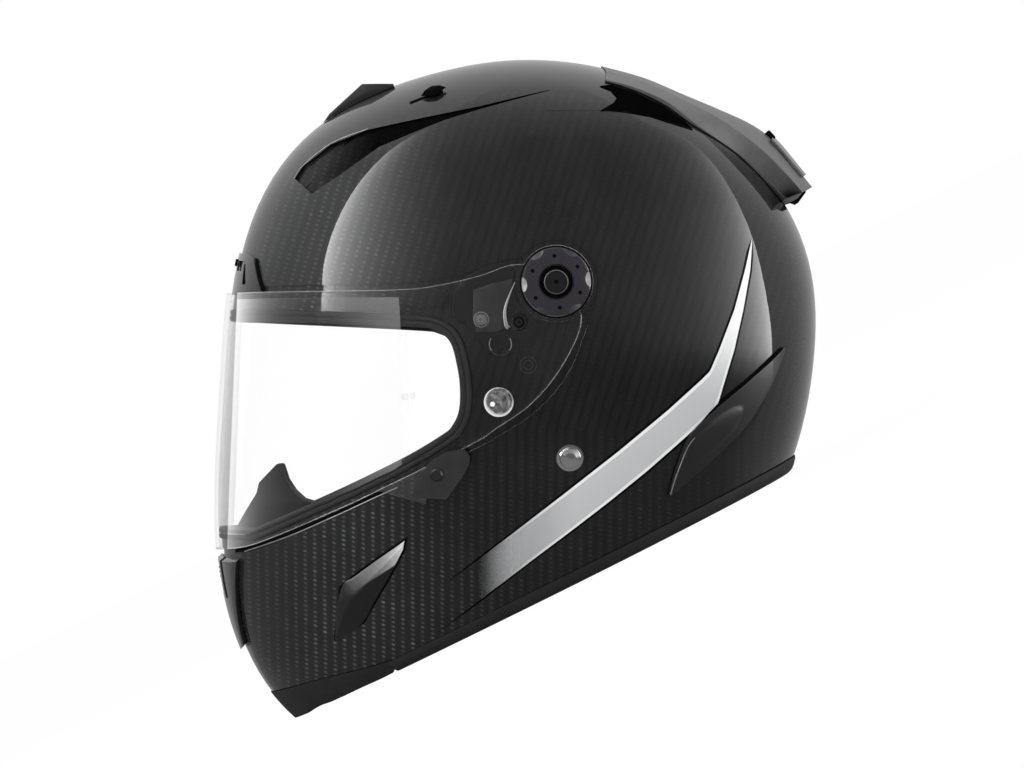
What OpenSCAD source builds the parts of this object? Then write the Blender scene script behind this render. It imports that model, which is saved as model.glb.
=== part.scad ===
// Full face motorcycle helmet, drawn as worn and stood on its neck edge.
// Side view coordinates are [y, z] from the visor pivot axis: y runs to the back, z up.
// The wearer's left is +X and the face looks along -Y.

/* [Shell] */
// Width of the shell at the visor pivots
shell_w = 242; // [232:1:252]
// Length of the shell from brow to back, level with the pivots
shell_l = 283; // [275:1:291]
// Wall of the laminated shell
shell_wall = 3; // [2.6:0.1:3.4]
// Pitch of the neck edge against the line of sight, degrees
base_pitch = 26.5; // [25.5:0.1:27.5]
// Height of the visor pivot axis above the neck edge
pivot_h = 132.5; // [131:0.5:134]

/* [Visor] */
// Thickness of the visor
visor_wall = 2.2; // [1.8:0.1:2.4]
// Gap between the shell and the visor
visor_gap = 1.9; // [1.7:0.1:2.1]
// Radius of the visor's ear round its pivot
ear_r = 21.5; // [20.5:0.5:23]
// Radius of the pivot boss that the visor turns on
boss_r = 7; // [6.5:0.1:7.5]
// Running clearance of pins and buttons in their bores, on the radius
running_fit = 0.05; // [0.03:0.01:0.08]
// Thickness of the anti-fog insert
insert_t = 1; // [0.8:0.1:1.2]
// Radius of a tear-off post
post_r = 7; // [6:0.2:7.4]

/* [Pivot cover] */
// Radius of the round cover over each pivot
cover_r = 16.8; // [15.8:0.2:18]
// Thickness of the cover
cover_t = 3.4; // [3:0.1:3.8]
// Radius of the release button in the cover
button_r = 5; // [4.6:0.1:5.4]
// Travel of the release button
button_travel = 1.5; // [1:0.1:1.8]

/* [Neck edge] */
// Height of the rubber edge trim
trim_h = 6; // [5.5:0.5:7]
// How far the trim stands out from the shell
trim_lip = 1.4; // [1:0.1:1.8]

/* [Lining] */
// Thickness of the impact foam
foam_t = 29; // [27:1:31]
// Thickness of the comfort lining
lining_t = 8; // [6:0.5:9]
// Width of the eye port's rubber seal
seal_w = 6; // [5:0.5:6.5]

/* [Vents] */
// How far the chin vent's housing stands out
chin_vent_t = 3.2; // [2.8:0.2:3.6]
// Travel of the chin vent's slider
chin_slide = 6; // [4:0.5:7]
// How far the brow vent's housing stands out
brow_vent_t = 1; // [0.8:0.1:1.1]
// Travel of the brow vent's slider
brow_slide = 4; // [3:0.5:4.5]
// Travel of a crown vent's slider
crown_slide = 8; // [6:0.5:9]
// How far a side panel stands out
panel_t = 2.6; // [2.2:0.2:3]

/* [Strap] */
// Width of the chin strap
strap_w = 23; // [21:0.5:25]
// Thickness of the chin strap
strap_t = 1.8; // [1.4:0.1:2]
// Radius of the wire of a D-ring
ring_wire_r = 1.8; // [1.6:0.1:2]
// Radius of a strap rivet's head
rivet_r = 5.2; // [4.8:0.1:5.6]

/* [Hidden] */
$fn = 48;
carbon = [0.16, 0.16, 0.17];
gloss_black = [0.07, 0.07, 0.08];
matte_black = [0.12, 0.12, 0.12];
smoke = [0.75, 0.78, 0.8, 0.5];
// Gap between pieces that seat on one another
seat = 0.3;
// Steps of the skin round the pivot axis and from side to side
skin_turns = [each [0:7.5:217.5], 222.5, 227, 231, 235, 239, 243.5, 248, each [255:7.5:352.5]];
around = len(skin_turns);
across = 24;
half_w = shell_w / 2;
// Radii of the side outline from the pivot axis, every 15 degrees from the back over the crown
drawn_l = 283;
drawn_radii = [
    126.8, 121.5, 115, 111, 109.4, 109, 110, 113.6, 119.6, 130.2, 142.6, 150.6,
    156.2, 165.2, 187.6, 223, 248, 240, 224, 196, 170, 152, 139.8, 131.4
];
stretch = shell_l / drawn_l;
sides = len(drawn_radii);
// Spline controls that carry the curve through the drawn radii
controls = [for (i = [0:sides-1])
    stretch * (8*drawn_radii[i] - drawn_radii[(i+sides-1)%sides] - drawn_radii[(i+1)%sides]) / 6];

// Radius of the side outline at angle a
function radius(a) =
    let (u = ((a % 360) + 360) % 360 * sides / 360, i = floor(u), f = u - i,
         c = [for (k = [-1:2]) controls[(i + k + sides) % sides]])
    (pow(1-f, 3)*c[0] + (3*pow(f, 3) - 6*f*f + 4)*c[1]
        + (3*f*f + 3*f + 1 - 3*pow(f, 3))*c[2] + pow(f, 3)*c[3]) / 6;
// Exponent of the superellipse from side to side: rounder at the chin, fuller at the back
function fullness(a) = 2.25 - 0.3 * pow(0.5 + 0.5*cos(a - 225), 2);
// Point of the skin that lies off from the shell's face, at angle a round the pivot axis and
// angle t from the left pivot, 0, over the middle, 90, to the right pivot, 180
function skin_point(a, t, off) =
    let (q = 2 / fullness(a), r = (radius(a) + off) * pow(max(0, sin(t)), q))
    [(half_w + off) * sign(cos(t)) * pow(abs(cos(t)), q), r*cos(a), r*sin(a)];
// Distance of the skin from the middle plane at a side view point
function skin_x(p, off = 0) =
    let (a = atan2(p.y, p.x), n = fullness(a), rho = min(1, norm(p) / (radius(a) + off)))
    (half_w + off) * pow(1 - pow(rho, n), 1/n);
// Angles [a, t] of a drawn side view point, with a counted from the angle cut
function on_skin(p, cut = -90) =
    let (a0 = atan2(p.y, p.x), a = a0 < cut ? a0 + 360 : a0,
         rho = min(1, stretch * norm(p) / radius(a)))
    [a, asin(pow(rho, fullness(a)/2))];
// The same point on the other side
function opposite(angles) = [for (i = [len(angles)-1:-1:0]) [angles[i].x, 180 - angles[i].y]];
// A curve that ends on the middle plane, carried on to the other side
function through_middle(angles) =
    concat(angles, opposite([for (i = [0:len(angles)-2]) angles[i]]));
function on_skins(points, cut = -90) = [for (p = points) on_skin(p, cut)];
// Straight stretches divided into n
function refine(p, n) = concat(
    [for (i = [0:len(p)-2]) for (k = [0:n-1]) p[i] + (p[i+1] - p[i]) * k/n], [p[len(p)-1]]);
// A smooth curve through the points, n steps a stretch
function bend(p, n) = let (m = len(p) - 1) concat(
    [for (i = [0:m-1]) let (a = p[max(0, i-1)], b = p[i], c = p[i+1], d = p[min(m, i+2)])
        for (k = [0:n-1]) let (f = k/n)
        b + f/2 * (c - a + f*(2*a - 5*b + 4*c - d + f*(3*b - a - 3*c + d)))], [p[m]]);
// Smooth row over side view points on the left, angle a on the middle line and the same on the right
function over_middle(points, a, n) = through_middle(bend(concat(on_skins(points, 0), [[a, 90]]), n));
function unit(v) = v / norm(v);
// A closed outline, drawn anticlockwise, moved outward by d
function grow(p, d) = let (n = len(p)) [for (i = [0:n-1])
    let (e = unit(p[i] - p[(i+n-1)%n]), g = unit(p[(i+1)%n] - p[i]),
         u = [e.y, -e.x], v = [g.y, -g.x])
    p[i] + d * (u + v) / (1 + u*v)];
function value(f, u, v) = is_function(f) ? f(u, v) : f;
// Height of the ground under a side view point, as worn
function floor_z(y) = (y*sin(base_pitch) - pivot_h) / cos(base_pitch);
function drawn(points) = stretch * points;

// Front and back limits of the stood helmet, before it is centred
function stood_y(p) = p.y*cos(base_pitch) + p.z*sin(base_pitch);
front_y = min([for (a = [212:0.5:240]) stood_y(skin_point(a, 90, a < 231 ? chin_vent_t : 0))]);
back_y = stood_y([0, stretch*126, stretch*48.5]);
centre_y = -(front_y + back_y) / 2;
// Worn side view point that stands at [y, height] once the helmet is stood and centred
function worn(p) = let (y = p.x - centre_y, z = p.y - pivot_h)
    [y*cos(base_pitch) - z*sin(base_pitch), y*sin(base_pitch) + z*cos(base_pitch)];
function stood_point(p) = [p.x, stood_y(p) + centre_y, p.z*cos(base_pitch) - p.y*sin(base_pitch) + pivot_h];
module stood() { translate([0, centre_y, pivot_h]) rotate([-base_pitch, 0, 0]) children(); }

// Closed skin at one distance from the shell's face
module skin(off) {
    rings = [for (j = [1:across-1]) for (i = [0:around-1])
        skin_point(skin_turns[i], j*180/across, off)];
    left = len(rings);
    right = left + 1;
    last = (across - 2) * around;
    faces = concat(
        [for (j = [0:across-3]) for (i = [0:around-1]) let (k = (i+1)%around) each [
            [j*around+i, j*around+k, (j+1)*around+k],
            [j*around+i, (j+1)*around+k, (j+1)*around+i]]],
        [for (i = [0:around-1]) [left, (i+1)%around, i]],
        [for (i = [0:around-1]) [right, last+i, last+(i+1)%around]]);
    polyhedron(concat(rings, [[half_w+off, 0, 0], [-half_w-off, 0, 0]]), faces);
}

// Side view outline extruded along X
module side_prism(outline, x0 = -200, x1 = 200) {
    translate([x0, 0, 0]) rotate([90, 0, 90]) linear_extrude(x1 - x0) polygon(outline);
}

// Panel that follows the skin between two rows of angles, from off lo to off hi, in rows steps
module panel(a_row, b_row, lo, hi, rows = 4) {
    m = len(a_row) - 1;
    w = rows + 1;
    size = (m+1) * w;
    grid = [for (f = [lo, hi]) for (i = [0:m]) for (j = [0:rows])
        let (q = a_row[i] + (b_row[i] - a_row[i]) * j/rows)
        skin_point(q.x, q.y, value(f, i/m, j/rows))];
    out = grid[size] - grid[0];
    turned = cross(grid[w] - grid[0], grid[1] - grid[0]) * out < 0;
    quads = concat(
        [for (i = [0:m-1]) for (j = [0:rows-1]) let (k = i*w + j)
            [size+k, size+k+1, size+k+w+1, size+k+w]],
        [for (i = [0:m-1]) for (j = [0:rows-1]) let (k = i*w + j) [k, k+w, k+w+1, k+1]],
        [for (i = [0:m-1]) let (k = i*w) [k, size+k, size+k+w, k+w]],
        [for (i = [0:m-1]) let (k = i*w + rows) [k, k+w, size+k+w, size+k]],
        [for (j = [0:rows-1]) [j, j+1, size+j+1, size+j]],
        [for (j = [0:rows-1]) let (k = m*w + j) [k, size+k, size+k+1, k+1]]);
    triangles = [for (f = quads) each [[f[0], f[1], f[2]], [f[0], f[2], f[3]]]];
    polyhedron(grid, turned ? [for (f = triangles) [f[0], f[2], f[1]]] : triangles);
}

// Children on the skin at a side view point, with their Z outward and their X along way
module at_side(p, way = [1, 0], off = 0) {
    d = 0.5;
    here = skin_x(p);
    slope = [skin_x(p + [d, 0]) - here, skin_x(p + [0, d]) - here] / d;
    z_axis = unit([1, -slope.x, -slope.y]);
    x_axis = unit([slope * way, way.x, way.y]);
    y_axis = cross(z_axis, x_axis);
    o = [here, p.x, p.y] + off * z_axis;
    multmatrix([for (i = [0:2]) [x_axis[i], y_axis[i], z_axis[i], o[i]]]) children();
}

// Children on the middle line at angle a, with their Z outward and their X toward a greater a
module at_middle(a, off = 0) {
    here = skin_point(a, 90, 0);
    x_axis = unit(skin_point(a + 0.5, 90, 0) - skin_point(a - 0.5, 90, 0));
    z_axis = cross(x_axis, [1, 0, 0]);
    y_axis = [-1, 0, 0];
    o = here + off * z_axis;
    multmatrix([for (i = [0:2]) [x_axis[i], y_axis[i], z_axis[i], o[i]]]) children();
}

module on_left() { children(); }
module on_right() { mirror([1, 0, 0]) children(); }
module on_both() {
    children();
    mirror([1, 0, 0]) children();
}
// Children along the pivot axis, with their Z outward from the shell's widest point
module at_pivot(p = [0, 0], off = 0) {
    translate([half_w + off, p.x, p.y]) rotate([90, 0, 90]) children();
}

// Clear opening of the eye port, anticlockwise
port = drawn([
    [-260, -117.5], [-145, -117.5], [-114.7, -104], [-92.4, -93.5], [-71.1, -82.6], [-53.5, -71.7],
    [-48.8, -67], [-45.9, -60], [-45.5, -49.4], [-46.9, -39], [-50.2, -28.1], [-57.3, -22.9],
    [-72.5, -21], [-149.3, -17.7], [-260, -17.7]
]);
// Outline of the visor in front of its ear, anticlockwise
visor_outline = drawn([
    [-260, -128.4], [-164, -128.4], [-148, -126], [-127.2, -118], [-103.3, -107.5], [-86.9, -99.8],
    [-40.7, -76.9], [-27.9, -68.8], [-11.4, -57], [2.8, -39.5], [11.8, -18.7],
    [6, -6], [-6, 6], [-20.4, 8.1], [-36, 3], [-54.8, -1.3], [-73.5, -3.4], [-121.5, -3.9], [-260, -3.9]
]);
insert_outline = drawn([
    [-260, -112], [-146, -112], [-103, -94], [-80, -82], [-73, -77], [-73, -31], [-79, -25], [-260, -23]
]);
// Lower edge of the chin bar in side view, front to back, down to where the trim starts
trim_start = -77;
chin_edge = [[-260, -198], [-137.7, -198], [-112.8, -190], [-92.5, -184.6]];
trim_front = [stretch*trim_start, floor_z(stretch*trim_start)];
trim_depth = 2.5;
lift = 1 / cos(base_pitch);
function above_floor(y, h) = [y, floor_z(y) + h*lift];

// Places and depths at the pivot, from the shell's widest point
plate_bed = -1.5;
plate_top = 0.6;
ear_lo = plate_top + 0.4;
ear_hi = ear_lo + visor_wall;
cover_lo = ear_hi + seat;
plate_r = 19.5;
lobe_p = drawn([-17.5, -18.8]);
lobe_r = 5;
lobe_top = -0.3;
stem_r = 3;
screw_r = 1.25;
screw_head_r = 2.5;
screw_len = 3.4;
plate_screws = [lobe_p, 14.5*[cos(75), sin(75)], 14.5*[cos(-60), sin(-60)]];
rivet_p = drawn([6.5, -82.9]);
rivet_shank_r = 2.4;

// Arm of the base plate out to its lobe
module plate_arm(r, h) {
    rotate(atan2(lobe_p.y, lobe_p.x)) translate([0, -r, 0]) cube([norm(lobe_p), 2*r, h]);
}

// Grooves beside the raised middle of the crown
groove_top = drawn([[-125.6, 51], [-121.8, 56.8], [-107.9, 67.4], [-90, 74], [-63.1, 79.4], [-36.2, 84.7],
    [-3, 92.9]]);
groove_low = drawn([[-3, 92.5], [-36, 83.2], [-53, 78], [-67.9, 72], [-84.2, 65.3], [-102, 52.8],
    [-116.8, 43.2]]);
groove_depth = 1.4;
bed_w = 3;
bed_depth = 0.9;

crown_slot_p = drawn([-62, 90]);
crown_slot_way = unit([-22.5, -8]);
crown_slot_w = 3.2;
crown_slot_l = crown_slide + 9;
slider_stem_w = crown_slot_w - 2*seat;

module outer_shell() {
    color(carbon) difference() {
        skin(0);
        skin(-shell_wall);
        side_prism(grow(port, seal_w));
        // Grooves beside the crown
        difference() {
            side_prism(concat(groove_top, groove_low));
            skin(-groove_depth);
        }
        // Step round the visor's edge
        difference() {
            side_prism(grow(visor_outline, bed_w));
            side_prism(visor_outline);
            skin(-bed_depth);
        }
        // Neck opening and the lower edge of the chin bar
        side_prism(concat([[-260, -420]], drawn(chin_edge), [
            above_floor(trim_front.x - 0.01, trim_h),
            above_floor(trim_front.x, trim_h - trim_depth),
            above_floor(220, trim_h - trim_depth), [220, -420]]));
        on_both() {
            at_pivot(off = plate_bed) cylinder(r = plate_r + seat, h = 5);
            at_pivot(lobe_p, plate_bed) cylinder(r = lobe_r + seat, h = 5);
            at_pivot(off = plate_bed) plate_arm(lobe_r + seat, 5);
            for (p = plate_screws) at_pivot(p, -6) cylinder(r = screw_r + running_fit, h = 10);
            at_side(rivet_p, off = -6) cylinder(r = rivet_shank_r + running_fit, h = 12);
            at_side(crown_slot_p, crown_slot_way, -8)
                translate([-crown_slot_l/2, -crown_slot_w/2, 0]) cube([crown_slot_l, crown_slot_w, 16]);
        }
    }
}

module neck_edge_trim() {
    color(matte_black) difference() {
        intersection() {
            difference() {
                skin(trim_lip);
                skin(-shell_wall - trim_lip);
            }
            side_prism([trim_front, above_floor(220, 0), above_floor(220, trim_h),
                above_floor(trim_front.x, trim_h)]);
        }
        // Channel that grips the shell's edge
        intersection() {
            difference() {
                skin(seat/2);
                skin(-shell_wall - seat/2);
            }
            side_prism([above_floor(trim_front.x - 5, trim_h - trim_depth),
                above_floor(225, trim_h - trim_depth), above_floor(225, trim_h + 5),
                above_floor(trim_front.x - 5, trim_h + 5)]);
        }
    }
}

seal_hi = 1;
seal_lo = -shell_wall - 2.6;
module eyeport_seal() {
    color(matte_black) difference() {
        intersection() {
            difference() {
                skin(seal_hi);
                skin(seal_lo);
            }
            side_prism(grow(port, seal_w - seat));
        }
        side_prism(port, -210, 210);
    }
}

visor_hi = visor_gap + visor_wall;
module visor_lens() {
    color(smoke) difference() {
        union() {
            intersection() {
                difference() {
                    skin(visor_hi);
                    skin(visor_gap);
                }
                side_prism(visor_outline);
            }
            on_both() at_pivot(off = ear_lo) cylinder(r = ear_r, h = visor_wall);
        }
        at_pivot(off = -2*shell_w) cylinder(r = boss_r + running_fit, h = 3*shell_w);
        // Room for the base plates under the ears
        on_both() at_pivot(off = -20) cylinder(r = ear_r - 0.5, h = 20 + ear_lo);
        on_both() at_pivot(off = ear_hi) cylinder(r = cover_r + 2, h = 20);
    }
}

module antifog_insert() {
    color([0.7, 0.75, 0.78, 0.5]) intersection() {
        difference() {
            skin(visor_gap - seat/2);
            skin(visor_gap - seat/2 - insert_t);
        }
        side_prism(insert_outline);
    }
}

pin_r = 1.5;
pin_p = drawn([-73 + pin_r + seat, -54]);
module antifog_pins() {
    color("dimgray") on_both() at_side(pin_p, off = visor_gap - 2*seat - insert_t)
        cylinder(r = pin_r, h = insert_t);
}

flange_top = drawn([[-63.5, -90.7], [-59.2, -84], [-56.4, -81.7], [-50.7, -78.4], [-42.6, -77.4],
    [-39.8, -80.7]]);
flange_low = drawn([[-66.8, -99.2], [-62, -99.6], [-57, -99.9], [-50.7, -100.2], [-44, -91], [-40.3, -84.5]]);
flange_t = 1.6;
flange_p = drawn([-55.4, -90]);
module visor_lock_flange() {
    lo = visor_hi + seat/2;
    color([0.3, 0.3, 0.31]) difference() {
        panel(on_skins(flange_top / stretch, 0), on_skins(flange_low / stretch, 0), lo, lo + flange_t, 4);
        at_side(flange_p, off = visor_gap) cylinder(r = 2.2 + running_fit, h = 12);
    }
}

module lock_flange_button() {
    color("gray") at_side(flange_p, off = visor_hi + seat) {
        cylinder(r = 2.2, h = flange_t + 0.3);
        translate([0, 0, flange_t + 0.3]) cylinder(r1 = 3, r2 = 2.4, h = 0.7);
    }
}

post_p = drawn([-26.8, -56]);
module tearoff_posts() {
    color(smoke) on_both() at_side(post_p, off = visor_hi + seat) rotate_extrude()
        polygon([[0, 0], [post_r, 0], [post_r, 0.8], [post_r - 2.4, 1.3], [post_r - 2.6, 2.6],
            [post_r - 1.2, 3.2], [post_r - 1.6, 3.9], [0, 4.4]]);
}

module visor_base_plate() {
    color([0.2, 0.2, 0.21]) difference() {
        union() {
            at_pivot(off = plate_bed) cylinder(r = plate_r, h = plate_top - plate_bed);
            at_pivot(lobe_p, plate_bed) cylinder(r = lobe_r, h = lobe_top - plate_bed);
            at_pivot(off = plate_bed) plate_arm(lobe_r, lobe_top - plate_bed);
            at_pivot(off = plate_top) cylinder(r = boss_r, h = cover_lo - plate_top);
        }
        for (p = plate_screws) at_pivot(p, -6) cylinder(r = screw_r + running_fit, h = 12);
        for (i = [0:2]) let (p = plate_screws[i], top = i == 0 ? lobe_top : plate_top)
            at_pivot(p, top - 0.8) cylinder(r = screw_head_r + seat, h = 4);
        at_pivot(off = plate_top - 1) cylinder(r = stem_r + running_fit, h = 10);
    }
}

module base_plate_screws() {
    color("silver") on_both() for (i = [0:2]) let (p = plate_screws[i], top = i == 0 ? lobe_top : plate_top)
        at_pivot(p, top - 0.8) difference() {
            union() {
                cylinder(r = screw_head_r, h = 0.7);
                translate([0, 0, -screw_len]) cylinder(r = screw_r, h = screw_len);
            }
            translate([0, 0, 0.3]) cylinder(r = 1.1, h = 1, $fn = 6);
        }
}

recess_r = 7.6;
recess_depth = 1.6;
module pivot_cover() {
    facet_turn = 5;
    color([0.17, 0.17, 0.2]) at_pivot(off = cover_lo) difference() {
        rotate_extrude(convexity = 4) polygon([[stem_r + running_fit, 0], [cover_r - 0.6, 0],
            [cover_r, 0.6], [cover_r, cover_t - 1.3], [cover_r - 2.6, cover_t],
            [recess_r + 0.5, cover_t], [recess_r, cover_t - 0.4], [recess_r, cover_t - recess_depth],
            [stem_r + running_fit, cover_t - recess_depth]]);
        // Six finger scallops and six holes between them
        for (k = [0:5]) rotate(k*60 + facet_turn) translate([cover_r + 13, 0, cover_t - 1.2])
            cylinder(r = 15, h = 4);
        for (k = [0:5]) rotate(k*60 + 34) translate([12.1, 0, cover_t - 0.9]) cylinder(r = 1.1, h = 3);
    }
}

module release_button() {
    color([0.1, 0.1, 0.11]) at_pivot() difference() {
        union() {
            // Pressed home, the stem still clears the visor's ear
            translate([0, 0, ear_hi + button_travel + seat])
                cylinder(r = stem_r, h = cover_lo + cover_t - ear_hi - button_travel);
            translate([0, 0, cover_lo + cover_t - recess_depth + button_travel + seat])
                cylinder(r = button_r, h = 1.6);
        }
        translate([0, 0, cover_lo + cover_t + button_travel + seat - 0.6]) sphere(r = 1.2);
    }
}

// The foam's wide facets and the shell's keep this far apart at their corners
foam_gap = 1.3;
chin_foam_t = 20;
foam_lo = -shell_wall - foam_gap - foam_t;
foam_hi = -shell_wall - foam_gap;
lining_hi = foam_lo - 0.9;
liner_front = 184;
liner_back = -36;
module impact_liner() {
    turns = [for (t = [8:12:176]) t];
    color("whitesmoke") difference() {
        panel([for (t = turns) [liner_back, t]], [for (t = turns) [liner_front, t]], foam_lo, foam_hi, 20);
        on_both() {
            at_pivot(off = -14) cylinder(r = plate_r, h = 30);
            at_side(crown_slot_p, crown_slot_way, -14)
                translate([-crown_slot_l/2 - 2, -5, 0]) cube([crown_slot_l + 4, 10, 30]);
        }
    }
}

module chin_bar_foam() {
    top = over_middle([[-69, -95.5], [-80, -100.5], [-105, -113.5], [-140, -127.5]], 218.2, 3);
    low = over_middle([[-72, -170.5], [-84, -176], [-105, -182.5], [-130, -190]], 233.4, 3);
    color("whitesmoke") panel(top, low, foam_hi - chin_foam_t, foam_hi, 5);
}

// Quilted face of a cushion: drawn in at its edges, with shallow channels
function pillow(u, v) = pow(sin(180*u) * sin(180*v), 0.35);
module crown_lining() {
    turns = [for (t = [32:4:152]) t];
    lo = lining_hi;
    color("dimgray") panel([for (t = turns) [-3, t]], [for (t = turns) [173, t]],
        function (u, v) lo - 1.5 - (lining_t - 1.5) * pillow(u, v) * (1 - 0.35*pow(cos(180*5*u), 6)),
        lo, 16);
}

module neck_roll() {
    turns = [for (t = [38:5.2:142]) t];
    lo = lining_hi - seat;
    color("dimgray") panel([for (t = turns) [-34, t]], [for (t = turns) [-5, t]],
        function (u, v) lo - 2 - (lining_t + 2) * pillow(u, v), lo, 7);
}

anchor_t = 1.2;
anchor_in = -shell_wall - 3*seat - anchor_t;
strap_hi = anchor_in - seat;
strap_lo = strap_hi - strap_t;
cheek_hi = strap_lo - 1.7;
module cheek_pad() {
    top = bend([[-33, -24], [-14, -17], [18, -21], [55, -46], [84, -67]], 4);
    low = bend([[-44, -156], [-20, -143], [10, -127], [48, -108], [80, -92]], 4);
    color([0.25, 0.25, 0.26]) difference() {
        panel(on_skins(top, 0), on_skins(low, 0),
            function (u, v) cheek_hi - 22 - 30 * pillow(u, v) * (1 - 0.1*pow(cos(180*3*u), 6)), cheek_hi, 14);
        at_side(rivet_p, off = -20) cylinder(r = 13, h = 30);
        // Front edge behind the eye port
        side_prism(drawn([[-260, 0], [-31, 0], [-33, -24], [-35, -66], [-40, -112], [-44, -156], [-60, -200],
            [-260, -200]]));
    }
}

module nose_guard() {
    color([0.1, 0.1, 0.1]) difference() {
        intersection() {
            side_prism(drawn([[-155, -117], [-150, -114.7], [-136, -87.5], [-133, -86], [-131.5, -92.6],
                [-130, -103], [-118, -105.8], [-118, -110], [-130, -119], [-146, -124]]), -34, 34);
            // Rounded wings either side of the nose, behind the chin foam's face
            translate([0, -200, -122]) rotate([-90, 0, 0]) cylinder(r = 38, h = 120);
            skin(foam_hi - chin_foam_t - 3*seat);
        }
        translate([0, -200, -84]) rotate([-90, 0, 0]) cylinder(r = 15, h = 120);
    }
}

module chin_curtain() {
    foot = 0.8;
    start_z = (floor_z(stretch*(trim_start - 1.5)) + trim_h)/stretch;
    top = over_middle([[trim_start - 1.5, start_z], [-92.5, -182], [-112.8, -188], [-130, -193]], 235, 3);
    low = over_middle([for (y = [trim_start - 1.5, -93, -107, -117])
        [y, (floor_z(stretch*y) + foot)/stretch]], 238.9, 3);
    color(matte_black) difference() {
        panel(top, low, -shell_wall, 0.6, 3);
        side_prism(concat([[-260, 0], [trim_front.x, 0], above_floor(trim_front.x, trim_h) - [0, seat]],
            [for (i = [3:-1:0]) drawn(chin_edge[i]) - [0, seat]]));
    }
}

chin_slot_a = 221.5;
module chin_vent_housing() {
    slot_l = chin_slide + 9;
    top = over_middle([[-152.4, -132.4], [-159, -132.4]], 218.8, 3);
    low = [for (k = [-6:6]) [229.2, 90 + k*1.4]];
    color(gloss_black) difference() {
        panel(top, low, seat, chin_vent_t, 8);
        at_middle(chin_slot_a) translate([-slot_l/2, -8, -8]) cube([slot_l, 16, 20]);
        // Air slots either side of the slider
        for (s = [-1, 1]) at_middle(chin_slot_a) translate([-10, s*17 - 3, -8]) cube([20, 6, 20]);
    }
}

module chin_vent_slider() {
    color(matte_black) at_middle(chin_slot_a) translate([-chin_slide/2, 0, 0]) {
        translate([-4, -7.6, 1.4]) cube([8, 15.2, chin_vent_t + 0.2]);
        for (k = [-1:1]) translate([k*2.4 - 0.6, -6, chin_vent_t + 1.6]) cube([1.2, 12, 0.7]);
    }
}

module side_vent() {
    top = [[-105.5, -169], [-102.3, -145.6], [-95.6, -139.5], [-84, -131], [-71.8, -122.3]];
    low = [[-103.5, -170], [-91.8, -161.4], [-86, -151], [-79.5, -140], [-72.5, -126.5]];
    color(gloss_black) panel(on_skins(refine(top, 2), 0), on_skins(refine(low, 2), 0), seat,
        function (u, v) seat + 0.8 + (panel_t + 1)*(1 - v)*sin(30 + 150*u), 4);
}

brow_slot_a = 176.6;
module brow_vent_housing() {
    function row(up, t) = through_middle(bend([for (i = [0:2]) [brow_slot_a + up[i], t[i]]], 4));
    top = row([-1.6, -2.2, -2.6], [69.8, 74.8, 90]);
    low = row([3.8, 3.8, 3.8], [64.4, 71.7, 90]);
    slot_l = brow_slide + 4;
    color(gloss_black) difference() {
        panel(top, low, seat, seat + brow_vent_t, 5);
        at_middle(brow_slot_a) translate([-slot_l/2, -9, -8]) cube([slot_l, 18, 20]);
        for (s = [-1, 1]) at_middle(brow_slot_a) translate([-3, s*24 - 9, -8]) cube([5, 18, 20]);
    }
}

module brow_vent_slider() {
    color(matte_black) at_middle(brow_slot_a) translate([-brow_slide/2 - 1.7, -8.5, 0.5])
        cube([3.4, 17, 1.5]);
}

// Intake on the front of the crown: a hood that opens forward
module crown_scoop() {
    outer = [[-113, 79], [-110, 83.5], [-93.8, 98], [-78.6, 98], [-77, 94]];
    inner = [[-113, 76], [-111, 79.5], [-95.5, 94.5], [-84, 95.5], [-80, 92]];
    color(gloss_black) difference() {
        intersection() {
            side_prism(drawn(concat(outer, [[-90, 60]])), -24, 24);
            // Sides drawn in toward the front
            linear_extrude(200) polygon([[-15, -120], [15, -120], [24, -86], [24, -70], [-24, -70],
                [-24, -86]]);
        }
        skin(seat);
        side_prism(drawn(concat(inner, [[-90, 60]])), -12, 12);
    }
}

module crown_vent_slider() {
    color(matte_black) at_side(crown_slot_p, crown_slot_way) translate([-crown_slide/2, 0, 0]) {
        translate([-3.5, -slider_stem_w/2, -4]) cube([7, slider_stem_w, 6]);
        translate([0, 0, 1.2]) linear_extrude(2.2, scale = 0.6) polygon([[-6.5, 0], [0, -4.2], [6.5, 0],
            [0, 4.2]]);
    }
}

// Rows of the spoiler from front to back. Middle top: angle and height over the skin. Crease: the
// same with its angle from side to side between them. Lower edge: side view point and height.
spoiler_tops = [[78, 1.2], [67, 1.8], [56, 3.4], [46.8, 7.6], [39.6, 12.4], [33.7, 14.8], [26.2, 15.2],
    [21, 16.4]];
spoiler_creases = [[76.5, 75, 1.2], [67, 74, 2], [56, 73, 3.4], [46.5, 72.5, 6.4], [38.5, 73, 8.5],
    [32, 74, 10], [25.5, 75.5, 11], [20.5, 77, 12]];
spoiler_edges = [[24, 97.5, 1.2], [37, 93.6, 1.6], [53, 86, 2.2], [67, 76, 1.4], [88.5, 62.5, 0.7],
    [98.5, 53.5, 0.7], [108.5, 43, 0.7], [114, 37.5, 0.7]];
spoiler_bite = 9;
spoiler_rows = [for (i = [0:len(spoiler_tops)-1])
    let (t = spoiler_tops[i], c = spoiler_creases[i], e = spoiler_edges[i], q = on_skin([e.x, e.y]))
    [skin_point(t[0], 90, stretch*t[1]), skin_point(c[0], c[1], stretch*c[2]),
        skin_point(q[0], q[1], stretch*e[2])]];
function inward(p, d) = let (r = norm([p.y, p.z])) [p.x*0.9, p.y*(1 - d/r), p.z*(1 - d/r)];
function flipped(p) = [-p.x, p.y, p.z];
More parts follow.
